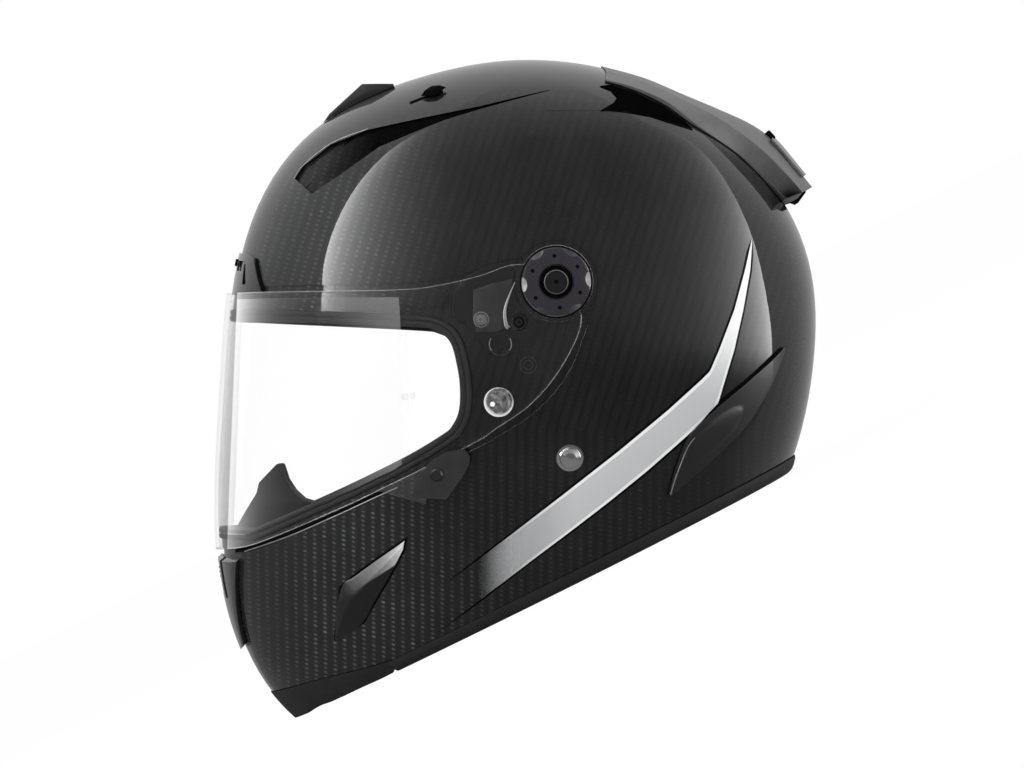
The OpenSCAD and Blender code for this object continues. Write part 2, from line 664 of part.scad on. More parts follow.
// Closed solid between equal rings of points, whose second half runs back along the first
module loft(rings) {
    m = len(rings) - 1;
    n = len(rings[0]);
    sides = [for (i = [0:m-1]) for (j = [0:n-1]) let (k = (j+1)%n)
        [i*n+j, (i+1)*n+j, (i+1)*n+k, i*n+k]];
    ends = [for (j = [0:n/2-2]) each [[j, j+1, n-2-j, n-1-j], [m*n+n-1-j, m*n+n-2-j, m*n+j+1, m*n+j]]];
    polyhedron([for (r = rings) each r],
        [for (f = concat(sides, ends)) each [[f[0], f[1], f[2]], [f[0], f[2], f[3]]]]);
}

module rear_spoiler() {
    color(gloss_black) difference() {
        loft([for (r = spoiler_rows) [r[0], r[1], r[2], inward(r[2], spoiler_bite), inward(r[0], spoiler_bite),
            flipped(inward(r[2], spoiler_bite)), flipped(r[2]), flipped(r[1])]]);
        skin(seat);
        // Air outlet in the back edge
        side_prism(outlet_pocket, -20, 20);
    }
}

outlet_pocket = drawn([[109, 38], [110.5, 41], [114, 46.5], [119.5, 48.5], [126, 44.2], [118, 32]]);
lip_t = 1.6;
lip_reach = 0.6;
// Small clear lip that follows the spoiler's back
module spoiler_lip() {
    rows = [for (i = [6.4, 6.1, 5.8, 5.5, 5.2, 4.9]) let (k = floor(i), f = i - k)
        [for (j = [0, 1]) spoiler_rows[k][j]*(1 - f) + spoiler_rows[k+1][j]*f]];
    function across_row(r, s) = let (p = r[0] + (r[1] - r[0])*abs(s)) s < 0 ? flipped(p) : p;
    function lifted(p, d) = let (r = norm([p.y, p.z])) [p.x, p.y*(1 + d/r), p.z*(1 + d/r)];
    color(smoke) loft([for (r = rows) let (s = [1, 0.5, 0, -0.5, -1])
        concat([for (k = s) lifted(across_row(r, k*lip_reach), 2*seat + lip_t)],
            [for (i = [4:-1:0]) lifted(across_row(r, s[i]*lip_reach), 2*seat)])]);
}

module spoiler_outlet() {
    color(matte_black) difference() {
        side_prism(drawn([[113.5, 42], [116, 46], [119.5, 47.8], [122.5, 45.6], [118.6, 40.2]]), -19.5, 19.5);
        for (k = [-3:3]) translate([k*5.4 - 1.5, 100, 38]) cube([3, 40, 5]);
        skin(2*seat);
    }
}

module exhaust_grille() {
    top = [[26.8, 94.5], [34.5, 92.5], [45, 88], [57, 81.5], [65.5, 75.8]];
    low = [[25.5, 83.8], [31.6, 82.2], [39.8, 80.8], [54.7, 77.9], [65.8, 74.6]];
    color(matte_black) panel(on_skins(refine(top, 2)), on_skins(refine(low, 2)), seat, 1.1, 3);
}

module rear_extractor() {
    top = [[109.2, -30], [94, -44.2], [77.4, -58], [63.2, -72.2], [56.5, -88], [53.2, -100.7]];
    low = [[109.4, -32], [103.1, -47.1], [88.4, -69.9], [81.2, -77], [66.5, -90.7], [54.5, -100.9]];
    color(gloss_black) panel(on_skins(refine(top, 2)), on_skins(refine(low, 2)), seat,
        function (u, v) seat + 0.7 + (panel_t - 1)*sin(180*u)*sin(30 + 120*v), 4);
}

module strap_rivets() {
    color("silver") on_both() at_side(rivet_p) {
        rotate_extrude() polygon([[0, 0.1], [rivet_r + 1.2, 0.1], [rivet_r + 1.2, 0.7], [rivet_r, 0.8],
            [rivet_r - 0.6, 1.7], [rivet_r - 2.4, 2.5], [0, 2.8]]);
        translate([0, 0, strap_lo - seat]) cylinder(r = rivet_shank_r, h = 0.5 + seat - strap_lo);
        translate([0, 0, strap_lo - seat - 1]) cylinder(r = rivet_r, h = 1);
    }
}

module strap_anchors() {
    color("gray") on_both() at_side(rivet_p, off = anchor_in) difference() {
        cylinder(r = 10.5, h = anchor_t);
        translate([0, 0, -1]) cylinder(r = rivet_shank_r + running_fit, h = 4);
    }
}

// Flat band of width w and thickness t along a path, its width along Y
module ribbon(path, w, t) {
    m = len(path) - 1;
    corners = [for (i = [0:m])
        let (along = unit(path[min(m, i+1)] - path[max(0, i-1)]), face = unit(cross(along, [0, 1, 0])),
             side = cross(face, along))
        each [for (s = [[-1, -1], [1, -1], [1, 1], [-1, 1]]) path[i] + s.x*w/2*side + s.y*t/2*face]];
    polyhedron(corners, concat([for (i = [0:m-1]) for (j = [0:3]) let (k = (j+1)%4)
            each [[4*i+j, 4*i+4+k, 4*i+k], [4*i+j, 4*i+4+j, 4*i+4+k]]],
        [[0, 1, 2], [0, 2, 3], [4*m, 4*m+2, 4*m+1], [4*m, 4*m+3, 4*m+2]]));
}

// The straps hang straight down inside the shell, turn in under the trim and lie in the neck opening
strap_y = stood_point([0, rivet_p.x, rivet_p.y]).y;
strap_off = (strap_hi + strap_lo) / 2;
strap_rest = strap_t/2 + seat;
ring_gap = 0.1;
ring_x = 41;
ring_rise = 4.2;
ring_z = [ring_wire_r + seat, ring_wire_r + seat + ring_rise];
ring_bend = strap_w/2 + ring_wire_r + 2*seat;
function strap_path(end_x) =
    let (rivet_z = stood_point([0, rivet_p.x, rivet_p.y]).z,
         down = [for (z = [rivet_z + 9, rivet_z, rivet_z - 9, 37, 28, 20, 14])
             let (p = worn([strap_y, z])) [skin_x(p, strap_off - 0.03*max(0, rivet_z - z)), strap_y, z]],
         low = down[len(down)-1].x)
    concat(down, [[low - 1, strap_y, 10.5], [low - 4, strap_y, 7], [low - 8, strap_y, 3.8],
        [low - 13, strap_y, strap_rest + 0.5], [low - 20, strap_y, strap_rest],
        [(low + end_x)/2, strap_y, strap_rest], [end_x, strap_y, strap_rest]]);

module strap(end_x) {
    difference() {
        ribbon(strap_path(end_x), strap_w, strap_t);
        stood() at_side(rivet_p, off = -20) cylinder(r = rivet_shank_r + running_fit, h = 30);
    }
}

module chin_strap_left() {
    loop_h = ring_z[1] + ring_wire_r + 1.2;
    color([0.15, 0.15, 0.15]) difference() {
        union() {
            strap(ring_x + 3);
            translate([ring_x - 3.2, strap_y - strap_w/2, seat]) cube([7, strap_w, loop_h]);
        }
        for (z = ring_z) translate([ring_x, strap_y, z]) rotate([90, 0, 0])
            cylinder(r = ring_wire_r + ring_gap, h = strap_w + 2, center = true);
    }
}

module chin_strap_right() {
    color([0.15, 0.15, 0.15]) on_right() strap(6);
}

// A bar through the strap's loop, two short sides and a round end
module d_ring(z) {
    side_l = 4;
    color("silver") translate([ring_x, strap_y, z]) {
        rotate([90, 0, 0]) cylinder(r = ring_wire_r, h = 2*ring_bend, center = true);
        for (s = [-1, 1]) {
            translate([0, s*ring_bend, 0]) sphere(r = ring_wire_r);
            translate([-side_l, s*ring_bend, 0]) rotate([0, 90, 0]) cylinder(r = ring_wire_r, h = side_l);
        }
        translate([-side_l, 0, 0]) rotate([0, 0, 90]) rotate_extrude(angle = 180)
            translate([ring_bend, 0]) circle(r = ring_wire_r);
    }
}

module strap_snap() {
    color([0.3, 0.3, 0.3]) translate([-16, strap_y, strap_rest + strap_t/2 + 0.1])
        rotate_extrude() polygon([[0, 0], [6, 0], [6, 1], [5, 1.6], [0, 1.8]]);
}

stood() outer_shell();
stood() neck_edge_trim();
stood() eyeport_seal();
stood() visor_lens();
stood() antifog_insert();
stood() antifog_pins();
stood() visor_lock_flange();
stood() lock_flange_button();
stood() tearoff_posts();
stood() on_left() visor_base_plate();  // visor_base_plate_left
stood() on_right() visor_base_plate();  // visor_base_plate_right
stood() base_plate_screws();
stood() on_left() pivot_cover();  // pivot_cover_left
stood() on_right() pivot_cover();  // pivot_cover_right
stood() on_left() release_button();  // release_button_left
stood() on_right() release_button();  // release_button_right
stood() impact_liner();
stood() chin_bar_foam();
stood() crown_lining();
stood() on_left() cheek_pad();  // cheek_pad_left
stood() on_right() cheek_pad();  // cheek_pad_right
stood() neck_roll();
stood() nose_guard();
stood() chin_curtain();
stood() chin_vent_housing();
stood() chin_vent_slider();
stood() on_left() side_vent();  // side_vent_left
stood() on_right() side_vent();  // side_vent_right
stood() brow_vent_housing();
stood() brow_vent_slider();
stood() crown_scoop();
stood() on_left() crown_vent_slider();  // crown_vent_slider_left
stood() on_right() crown_vent_slider();  // crown_vent_slider_right
stood() rear_spoiler();
stood() spoiler_lip();
stood() spoiler_outlet();
stood() on_left() exhaust_grille();  // exhaust_grille_left
stood() on_right() exhaust_grille();  // exhaust_grille_right
stood() on_left() rear_extractor();  // rear_extractor_left
stood() on_right() rear_extractor();  // rear_extractor_right
stood() strap_rivets();
stood() strap_anchors();
chin_strap_left();
chin_strap_right();
d_ring(ring_z[0]);  // d_ring_lower
d_ring(ring_z[1]);  // d_ring_upper
strap_snap();
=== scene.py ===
"""Looks of a full face motorcycle helmet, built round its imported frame."""
import math

import bmesh
import bpy
import numpy as np
from mathutils import Matrix, Vector


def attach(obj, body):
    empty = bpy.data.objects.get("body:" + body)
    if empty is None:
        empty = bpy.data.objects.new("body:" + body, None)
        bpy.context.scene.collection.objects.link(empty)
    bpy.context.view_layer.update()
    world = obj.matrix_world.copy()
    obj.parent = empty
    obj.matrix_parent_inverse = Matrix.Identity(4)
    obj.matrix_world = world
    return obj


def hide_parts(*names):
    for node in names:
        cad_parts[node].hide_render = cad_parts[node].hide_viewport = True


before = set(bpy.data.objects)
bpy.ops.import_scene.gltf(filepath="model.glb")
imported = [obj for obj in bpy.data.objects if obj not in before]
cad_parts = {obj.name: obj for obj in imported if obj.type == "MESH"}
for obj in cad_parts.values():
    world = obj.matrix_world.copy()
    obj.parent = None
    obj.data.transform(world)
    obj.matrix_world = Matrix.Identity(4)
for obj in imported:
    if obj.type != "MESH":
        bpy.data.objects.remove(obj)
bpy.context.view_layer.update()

# --- The shell's skin, in millimetres as worn: x to the wearer's left, y to the back, z up, from the pivot axis

HALF_W = 121.0
PITCH = math.radians(26.5)
COS_P, SIN_P = math.cos(PITCH), math.sin(PITCH)
PIVOT_Y, PIVOT_Z = 41.3732, 132.5
WALL = 3.0
SEAT = 0.3
FLIP = np.array([-1, 1, 1])
# The side view: the camera's distance, millimetres a pixel, and the point that the camera looks at
VIEW_D, PX = 3200.0, 0.49
AIM = np.array([(512 - 554.5)*PX, (286 - 384)*PX])
# Radii of the shell in the middle plane, one every 15 degrees from straight back over the crown
DRAWN = np.array([
    126.8, 121.5, 115, 111, 109.4, 109, 110, 113.6, 119.6, 130.2, 142.6, 150.6,
    156.2, 165.2, 187.6, 223, 248, 240, 224, 196, 170, 152, 139.8, 131.4])
CONTROLS = (8*DRAWN - np.roll(DRAWN, 1) - np.roll(DRAWN, -1)) / 6


def cosd(a):
    return np.cos(np.radians(a))


def sind(a):
    return np.sin(np.radians(a))


def unit(v):
    v = np.asarray(v, float)
    return v / np.maximum(np.linalg.norm(v, axis=-1, keepdims=True), 1e-12)


def radius(a):
    """Spline through the drawn radii."""
    u = np.mod(a, 360) / 15
    i = np.floor(u).astype(int)
    f = u - i
    c = [CONTROLS[(i + k) % 24] for k in (-1, 0, 1, 2)]
    return ((1-f)**3*c[0] + (3*f**3 - 6*f*f + 4)*c[1] + (3*f*f + 3*f + 1 - 3*f**3)*c[2] + f**3*c[3]) / 6


def fullness(a):
    """Power of the cross-section's superellipse: 2 is an ellipse."""
    return 2.25 - 0.3*(0.5 + 0.5*cosd(a - 225))**2


def skin(a, t, off=0.0):
    """Points off the shell's face at angle a round the pivot axis and t from the left pivot over the middle."""
    a, t, off = np.broadcast_arrays(*(np.asarray(v, float) for v in (a, t, off)))
    q = 2 / fullness(a)
    r = (radius(a) + off) * np.clip(sind(t), 0, None)**q
    c = cosd(t)
    return np.stack([(HALF_W + off)*np.sign(c)*np.abs(c)**q, r*cosd(a), r*sind(a)], -1)


def skin_x(y, z, off=0.0):
    """How far out to the left the skin lies at a side view point."""
    a = np.degrees(np.arctan2(z, y))
    n = fullness(a)
    rho = np.minimum(1, np.hypot(y, z) / (radius(a) + off))
    return (HALF_W + off) * (1 - rho**n)**(1/n)


def gauge(p, off=0.0):
    """Below 1 inside the skin, above 1 outside it."""
    a = np.degrees(np.arctan2(p[..., 2], p[..., 1]))
    n = fullness(a)
    rho = np.hypot(p[..., 1], p[..., 2]) / (radius(a) + off)
    return ((np.abs(p[..., 0])/(HALF_W + off))**n + rho**n)**(1/n)


def skin_normal(p):
    d = 0.02
    steps = np.eye(3)*d
    return unit(np.stack([gauge(p + s) - gauge(p - s) for s in steps], -1))


def on_skin(points, cut=-90.0):
    """Angles [a, t] of side view points, with a counted from the angle cut."""
    p = np.asarray(points, float)
    a = np.degrees(np.arctan2(p[:, 1], p[:, 0]))
    a = np.where(a < cut, a + 360, a)
    rho = np.minimum(1, np.hypot(p[:, 0], p[:, 1]) / radius(a))
    return np.stack([a, np.degrees(np.arcsin(rho**(fullness(a)/2)))], -1)


def through_middle(angles):
    """Rows of angles that end on the middle line, with their mirror image after them."""
    angles = np.asarray(angles, float)
    other = angles[-2::-1].copy()
    other[:, 1] = 180 - other[:, 1]
    return np.concatenate([angles, other])


def bend(points, n):
    """Smooth curve through the points, n steps a stretch."""
    p = np.asarray(points, float)
    m = len(p) - 1
    out = []
    for i in range(m):
        a, b, c, d = p[max(0, i-1)], p[i], p[i+1], p[min(m, i+2)]
        for f in np.arange(n)/n:
            out.append(b + f/2*(c - a + f*(2*a - 5*b + 4*c - d + f*(3*b - a - 3*c + d))))
    return np.array(out + [p[m]])


def over_middle(points, a, n):
    """Smooth row through side view points to the middle line at angle a, and down the other side."""
    return through_middle(bend(np.vstack([on_skin(points, 0), [[a, 90]]]), n))


def resample(points, n):
    """n points at equal steps along a polyline."""
    p = np.asarray(points, float)
    s = np.concatenate([[0], np.cumsum(np.linalg.norm(np.diff(p, axis=0), axis=1))])
    want = np.linspace(0, 1, n) * s[-1]
    return np.stack([np.interp(want, s, p[:, k]) for k in range(p.shape[1])], -1)


def above_floor(y, h):
    """Side view point at y whose height over the floor is h."""
    return [y, (y*SIN_P - PIVOT_Z)/COS_P + h/COS_P]


def as_seen(points):
    """Side view points moved to where the camera's perspective shows them."""
    p = np.array(points, float)
    q = p.copy()
    for _ in range(4):
        q = AIM + (p - AIM)*(1 - skin_x(q[:, :1], q[:, 1:])/VIEW_D)
    return q


def stood(p):
    """Worn millimetres to metres of the standing helmet."""
    x, y, z = np.moveaxis(np.asarray(p, float), -1, 0)
    return np.stack([x, y*COS_P + z*SIN_P + PIVOT_Y, z*COS_P - y*SIN_P + PIVOT_Z], -1)/1000


def worn(p):
    """Metres of the standing helmet to worn millimetres."""
    x, y, z = np.moveaxis(np.asarray(p, float)*1000, -1, 0)
    y, z = y - PIVOT_Y, z - PIVOT_Z
    return np.stack([x, y*COS_P - z*SIN_P, y*SIN_P + z*COS_P], -1)


def at_side(y, z, way=(1, 0), off=0.0):
    """Frame on the skin at a side view point: its Z outward, its X along way."""
    d = 0.5
    here = skin_x(y, z)
    slope = np.array([skin_x(y + d, z) - here, skin_x(y, z + d) - here]) / d
    k = unit([1, -slope[0], -slope[1]])
    i = unit([slope @ np.array(way), way[0], way[1]])
    return np.array([i, np.cross(k, i), k]), np.array([here, y, z]) + off*k


def at_middle(a):
    """Frame on the skin's middle line at angle a: its X along the line, its Z outward."""
    i = unit(skin(a + 0.5, 90) - skin(a - 0.5, 90))
    k = np.cross(i, [1, 0, 0])
    return np.array([i, [-1, 0, 0], k]), skin(a, 90)


def at_pivot(r=0.0, turn=0.0):
    """Frame at the left pivot, or r from its axis at turn degrees: its X to the back, its Z outward."""
    a = math.radians(turn)
    return np.array([[0, 1, 0], [0, 0, 1], [1, 0, 0]], float), np.array([HALF_W, r*math.cos(a), r*math.sin(a)])


def placed(points, where):
    """Points given in a frame, which is its axes and its origin."""
    axes, origin = where
    return np.asarray(points, float) @ axes + origin


# --- Meshes

def link(name, data):
    """Object of a mesh, lamp or camera in the scene."""
    obj = bpy.data.objects.new(name, data)
    bpy.context.scene.collection.objects.link(obj)
    return obj


def grid_solid(top, under):
    """Closed solid between two equal grids of points."""
    m, n = top.shape[:2]
    verts = np.concatenate([top.reshape(-1, 3), under.reshape(-1, 3)])
    size, last = m*n, (m-1)*n
    faces = []
    for p, q in zip(range(0, last, n), range(n, size, n)):
        for j in range(n-1):
            faces += [[p+j, q+j, q+j+1, p+j+1], [size+p+j, size+p+j+1, size+q+j+1, size+q+j]]
        faces += [[p, size+p, size+q, q], [p+n-1, q+n-1, size+q+n-1, size+p+n-1]]
    for j, k in zip(range(n-1), range(last, size)):
        faces += [[j, j+1, size+j+1, size+j], [k, size+k, size+k+1, k+1]]
    return verts, faces


def ring_solid(rings, closed=False):
    """Closed solid through equal rings of points, capped at its ends unless closed."""
    rings = np.asarray(rings, float)
    m, n = rings.shape[:2]
    faces = []
    for i in range(m if closed else m - 1):
        p, q = i*n, ((i+1) % m)*n
        for j in range(n):
            k = (j+1) % n
            faces.append([p+j, q+j, q+k, p+k])
    if not closed:
        faces += [list(range(n)), [(m-1)*n + j for j in range(n-1, -1, -1)]]
    return rings.reshape(-1, 3), faces


def mirrored(verts, faces):
    """The same shape on the other side of the middle plane."""
    return np.array(verts, float)*FLIP, [list(f)[::-1] for f in faces]


def joined(*shapes):
    verts, faces, base = [], [], 0
    for v, f in shapes:
        verts.append(np.asarray(v))
        faces += [[base + i for i in face] for face in f]
        base += len(v)
    return np.concatenate(verts), faces


def solid(shape, is_stood=False):
    """Object of a closed shape, its vertices and faces, in worn millimetres or in metres of the standing helmet. Its
    faces are turned so that its volume is positive."""
    verts, faces = shape
    places = verts if is_stood else stood(verts)
    mesh = bpy.data.meshes.new("part")
    mesh.from_pydata(places.tolist(), [], [list(map(int, f)) for f in faces])
    bm = bmesh.new()
    bm.from_mesh(mesh)
    if bm.calc_volume(signed=True) < 0:
        bmesh.ops.reverse_faces(bm, faces=bm.faces)
    bm.to_mesh(mesh)
    bm.free()
    return link("part", mesh)


def both_sides(shape):
    return joined(shape, mirrored(*shape))


def pair(shape):
    """Object of a shape and its mirror image."""
    return solid(both_sides(shape))


def left_and_right(shape):
    return ("left", solid(shape)), ("right", solid(mirrored(*shape)))


def settle(obj):
    """The object's modifiers, applied."""
    dg = bpy.context.evaluated_depsgraph_get()
    mesh = bpy.data.meshes.new_from_object(obj.evaluated_get(dg))
    obj.modifiers.clear()
    old, obj.data = obj.data, mesh
    bpy.data.meshes.remove(old)
    return obj


def carve(obj, *tools, operation="DIFFERENCE"):
    """The object cut by, joined with or kept inside the tools, which are used up."""
    for tool in tools:
        m = obj.modifiers.new("cut", "BOOLEAN")
        m.operation, m.solver, m.object = operation, "MANIFOLD", tool
        settle(obj)
        bpy.data.objects.remove(tool)
    return obj


def within(obj, *tools):
    return carve(obj, *tools, operation="INTERSECT")


def rounded(obj, width, segments=2, angle=40):
    """Edges eased by width millimetres."""
    m = obj.modifiers.new("ease", "BEVEL")
    m.width, m.segments, m.limit_method, m.angle_limit = width/1000, segments, "ANGLE", math.radians(angle)
    m.miter_outer = "MITER_ARC"
    return settle(obj)


def shade(obj, angle):
    """Smooth shading, sharp where faces meet at more than angle."""
    mesh = obj.data
    mesh.polygons.foreach_set("use_smooth", np.ones(len(mesh.polygons), bool))
    mesh.set_sharp_from_angle(angle=math.radians(angle))
    return obj


def read(rows, field, width=1, kind=float):
    """One field of a mesh's vertices, corners or faces as an array."""
    out = np.empty(len(rows)*width, kind)
    rows.foreach_get(field, out)
    return out.reshape(-1, width) if width > 1 else out


def shade_on_skin(obj, angle=30, close=0.985):
    """Smooth shading that takes the skin's own normals wherever a face follows it."""
    shade(obj, angle)
    mesh = obj.data
    x, y, z = skin_normal(worn(read(mesh.vertices, "co", 3))).T
    n = np.stack([x, y*COS_P + z*SIN_P, z*COS_P - y*SIN_P], -1)
    corner = read(mesh.corner_normals, "vector", 3)
    start, total = (read(mesh.polygons, field, kind=int) for field in ("loop_start", "loop_total"))
    face = np.repeat(np.arange(len(total)), total)
    want = n[read(mesh.loops, "vertex_index", kind=int)]
    dot = (read(mesh.polygons, "normal", 3)[face]*want).sum(1)
    follows = np.minimum.reduceat((np.abs(dot) > close).astype(int), start) == 1
    use = follows[face]
    corner[use] = want[use]*np.sign(dot[use])[:, None]
    mesh.normals_split_custom_set(unit(corner).tolist())
    return obj


def skin_solid(off):
    """Closed skin at one distance from the shell's face, with finer steps round the chin."""
    a = np.concatenate([np.arange(0, 210, 3), np.arange(210, 252, 1.5), np.arange(252, 360, 3)])
    t = np.linspace(0, 180, 73)[1:-1]
    grid = skin(a[None, :], t[:, None], off)
    m, n = grid.shape[:2]
    verts = np.concatenate([grid.reshape(-1, 3), [[HALF_W + off, 0, 0], [-HALF_W - off, 0, 0]]])
    faces = [[j*n+i, (j+1)*n+i, (j+1)*n+(i+1) % n, j*n+(i+1) % n] for j in range(m-1) for i in range(n)]
    faces += [[m*n, i, (i+1) % n] for i in range(n)]
    faces += [[m*n+1, (m-1)*n+(i+1) % n, (m-1)*n+i] for i in range(n)]
    return solid((verts, faces))


def prism(outline, x0=-200.0, x1=200.0):
    """Solid from x0 to x1 whose side view is the outline."""
    p = np.asarray(outline, float)
    return solid(ring_solid([np.column_stack([np.full(len(p), x), p]) for x in (x0, x1)]))


def grown(outline, d):
    """Outline with its sides moved out by d."""
    p = np.asarray(outline, float)
    e = unit(p - np.roll(p, 1, 0))
    g = unit(np.roll(p, -1, 0) - p)
    u, v = np.column_stack([e[:, 1], -e[:, 0]]), np.column_stack([g[:, 1], -g[:, 0]])
    return p + d*(u + v)/(1 + (u*v).sum(1))[:, None]


def circle(r, z, n):
    a = np.arange(n)*2*math.pi/n
    return np.column_stack([r*np.cos(a), r*np.sin(a), np.full(n, z)])


def cylinder(r, z0, z1, where, n=64):
    return ring_solid([placed(circle(r, z, n), where) for z in (z0, z1)])


def block(lo, hi, where):
    (x0, y0, z0), (x1, y1, z1) = lo, hi
    return ring_solid([placed([[x0, y0, z], [x1, y0, z], [x1, y1, z], [x0, y1, z]], where) for z in (z0, z1)])


def lathe(profile, where, n=96):
    """Solid of revolution about the frame's Z, from [r, z] rows that start and end on the axis."""
    p = np.asarray(profile, float)
    body = p[1:-1]
    rings = np.stack([circle(r, z, n) for r, z in body])
    verts = np.concatenate([rings.reshape(-1, 3), [[0, 0, p[0, 1]], [0, 0, p[-1, 1]]]])
    m = len(body)
    faces = [[i*n+j, i*n+(j+1) % n, (i+1)*n+(j+1) % n, (i+1)*n+j] for i in range(m-1) for j in range(n)]
    faces += [[m*n, (j+1) % n, j] for j in range(n)] + [[m*n+1, (m-1)*n+j, (m-1)*n+(j+1) % n] for j in range(n)]
    return placed(verts, where), faces


def panel(top, low, lo, hi, nu=60, nv=16, between=()):
    """Solid on the skin between two rows of angles; lo and hi are distances, numbers or functions of u and v."""
    rows = [resample(r, nu + 1) for r in (top, *between, low)]
    u, v = np.meshgrid(np.linspace(0, 1, nu + 1), np.linspace(0, 1, nv + 1), indexing="ij")
    q = np.stack([resample_at(bend(column, 8) if between else column, nv + 1) for column in zip(*rows)])
    put = [skin(q[..., 0], q[..., 1], f(u, v) if callable(f) else f) for f in (hi, lo)]
    return grid_solid(*put)


def sweep(path, up, profile, closed=False):
    """Profile of [outward, across] rows carried along a path whose outward directions are up."""
    path = np.asarray(path, float)
    if closed:
        along = unit(np.roll(path, -1, 0) - np.roll(path, 1, 0))
    else:
        along = unit(np.gradient(path, axis=0))
    up = unit(up - (up*along).sum(1, keepdims=True)*along)
    side = np.cross(along, up)
    p = np.asarray(profile, float)
    return ring_solid([o + p[:, :1]*k + p[:, 1:]*s for o, k, s in zip(path, up, side)], closed)


def resample_at(points, n):
    """n points at equal steps of the row number along a list of rows."""
    p = np.asarray(points, float)
    want = np.linspace(0, len(p) - 1, n)
    return np.stack([np.interp(want, np.arange(len(p)), p[:, k]) for k in range(p.shape[1])], -1)


def rim(outline, n, off=0.0):
    """Closed path on the skin along the part of a side view outline that lies on it, through the middle."""
    p = resample(outline, 6000)
    a = np.degrees(np.arctan2(p[:, 1], p[:, 0]))
    inside = np.hypot(p[:, 0], p[:, 1]) < radius(a) + off
    first, last = np.argmax(inside), len(inside) - 1 - np.argmax(inside[::-1])
    p = p[first:last+1]
    x = skin_x(p[:, 0], p[:, 1], off)
    x[0] = x[-1] = 0
    left = resample(np.column_stack([x, p]), n)
    right = left[-2:0:-1].copy()
    right[:, 0] *= -1
    return np.concatenate([left, right])


def film_on_skin(outline, lo, hi, x0=-200.0, x1=200.0):
    """Thin solid between two distances from the skin, inside a side view outline."""
    return within(carve(skin_solid(hi), skin_solid(lo)), prism(outline, x0, x1))


# Corners of a bead's round section
ROUND = np.radians(np.arange(0, 360, 45))


def bead(points, r, off, n=160):
    """Thin round beads on both sides of the skin along a side view line; r is one radius, or one for each end."""
    p = resample(bend(points, 8), n)
    path = np.column_stack([skin_x(p[:, 0], p[:, 1], off), p])
    up = skin_normal(path)
    side = np.cross(unit(np.gradient(path, axis=0)), up)
    c, s = np.cos(ROUND)[:, None], np.sin(ROUND)[:, None]
    widths = np.linspace(*np.broadcast_to(r, 2), n)
    return pair(ring_solid([o + w*(c*i + s*j) for o, w, i, j in zip(path, widths, up, side)]))


# --- Shader maths

class Number:
    """A shader socket that takes part in arithmetic."""

    def __init__(self, shader, socket):
        self.shader, self.socket = shader, socket

    def op(self, operation, *others, first=None):
        rows = [self, *others] if first is None else [first, self]
        node = self.shader.node("ShaderNodeMath", {"operation": operation}, rows)
        return Number(self.shader, node.outputs[0])

    def __add__(self, other):
        return self.op("ADD", other)

    def __sub__(self, other):
        return self.op("SUBTRACT", other)

    def __rsub__(self, other):
        return self.op("SUBTRACT", first=other)

    def __mul__(self, other):
        return self.op("MULTIPLY", other)

    def __truediv__(self, other):
        return self.op("DIVIDE", other)

    def __pow__(self, other):
        return self.op("POWER", other)

    def __lt__(self, other):
        return self.op("LESS_THAN", other)

    def __gt__(self, other):
        return self.op("GREATER_THAN", other)

    def __abs__(self):
        return self.op("ABSOLUTE")

    __radd__, __rmul__ = __add__, __mul__

    def clamped(self):
        return self.op("MINIMUM", 1.0).op("MAXIMUM", 0.0)

    def step(self, low, high):
        """0 below low, 1 above high, smooth between."""
        node = self.shader.node("ShaderNodeMapRange", {"interpolation_type": "SMOOTHSTEP"},
                                {"Value": self, "From Min": low, "From Max": high})
        return Number(self.shader, node.outputs["Result"])


class Shader:
    """Nodes of a new material, or of the world."""

    def __init__(self, name, owner=None):
        self.material = owner or bpy.data.materials.new(name)
        self.material.use_nodes = True
        self.tree = self.material.node_tree
        self.tree.nodes.clear()

    def node(self, kind, settings=None, inputs=()):
        """A node of any kind: its settings first, then the values or links of its sockets."""
        node = self.tree.nodes.new(kind)
        for key, value in (settings or {}).items():
            setattr(node, key, value)
        rows = inputs.items() if isinstance(inputs, dict) else enumerate(inputs)
        for key, value in rows:
            if isinstance(value, Number):
                value = value.socket
            if isinstance(value, bpy.types.NodeSocket):
                self.tree.links.new(value, node.inputs[key])
            else:
                node.inputs[key].default_value = value
        return node

    def place(self):
        """Position on the object, in millimetres."""
        at = self.node("ShaderNodeTexCoord").outputs["Object"]
        scaled = self.node("ShaderNodeVectorMath", {"operation": "SCALE"}, {0: at, "Scale": 1000.0})
        return scaled.outputs[0]

    def split(self, vector):
        parts = self.node("ShaderNodeSeparateXYZ", None, [vector]).outputs
        return [Number(self, s) for s in parts]

    def joined(self, x, y, z=0.0):
        return self.node("ShaderNodeCombineXYZ", None, [x, y, z]).outputs[0]

    def noise(self, vector, scale, detail=2.0, rough=0.5):
        node = self.node("ShaderNodeTexNoise", None,
                         {"Vector": vector, "Scale": scale, "Detail": detail, "Roughness": rough})
        return Number(self, node.outputs["Fac"])

    def mix(self, factor, a, b):
        node = self.node("ShaderNodeMix", {"data_type": "RGBA"}, {0: factor, 6: a, 7: b})
        return node.outputs[2]

    def bump(self, height, distance, strength=1.0):
        return self.node("ShaderNodeBump", None,
                         {"Height": height, "Distance": distance/1000, "Strength": strength}).outputs[0]

    def finish(self, see_through=False, **sockets):
        if see_through:
            self.material.surface_render_method = "BLENDED"
        names = {k.replace("_", " "): v for k, v in sockets.items()}
        surface = self.node("ShaderNodeBsdfPrincipled", None, names)
        self.node("ShaderNodeOutputMaterial", None, {"Surface": surface.outputs[0]})
        return self.material


def grey(v, warm=0.0, alpha=1.0):
    return (v*(1 + warm), v, v*(1 - warm), alpha)


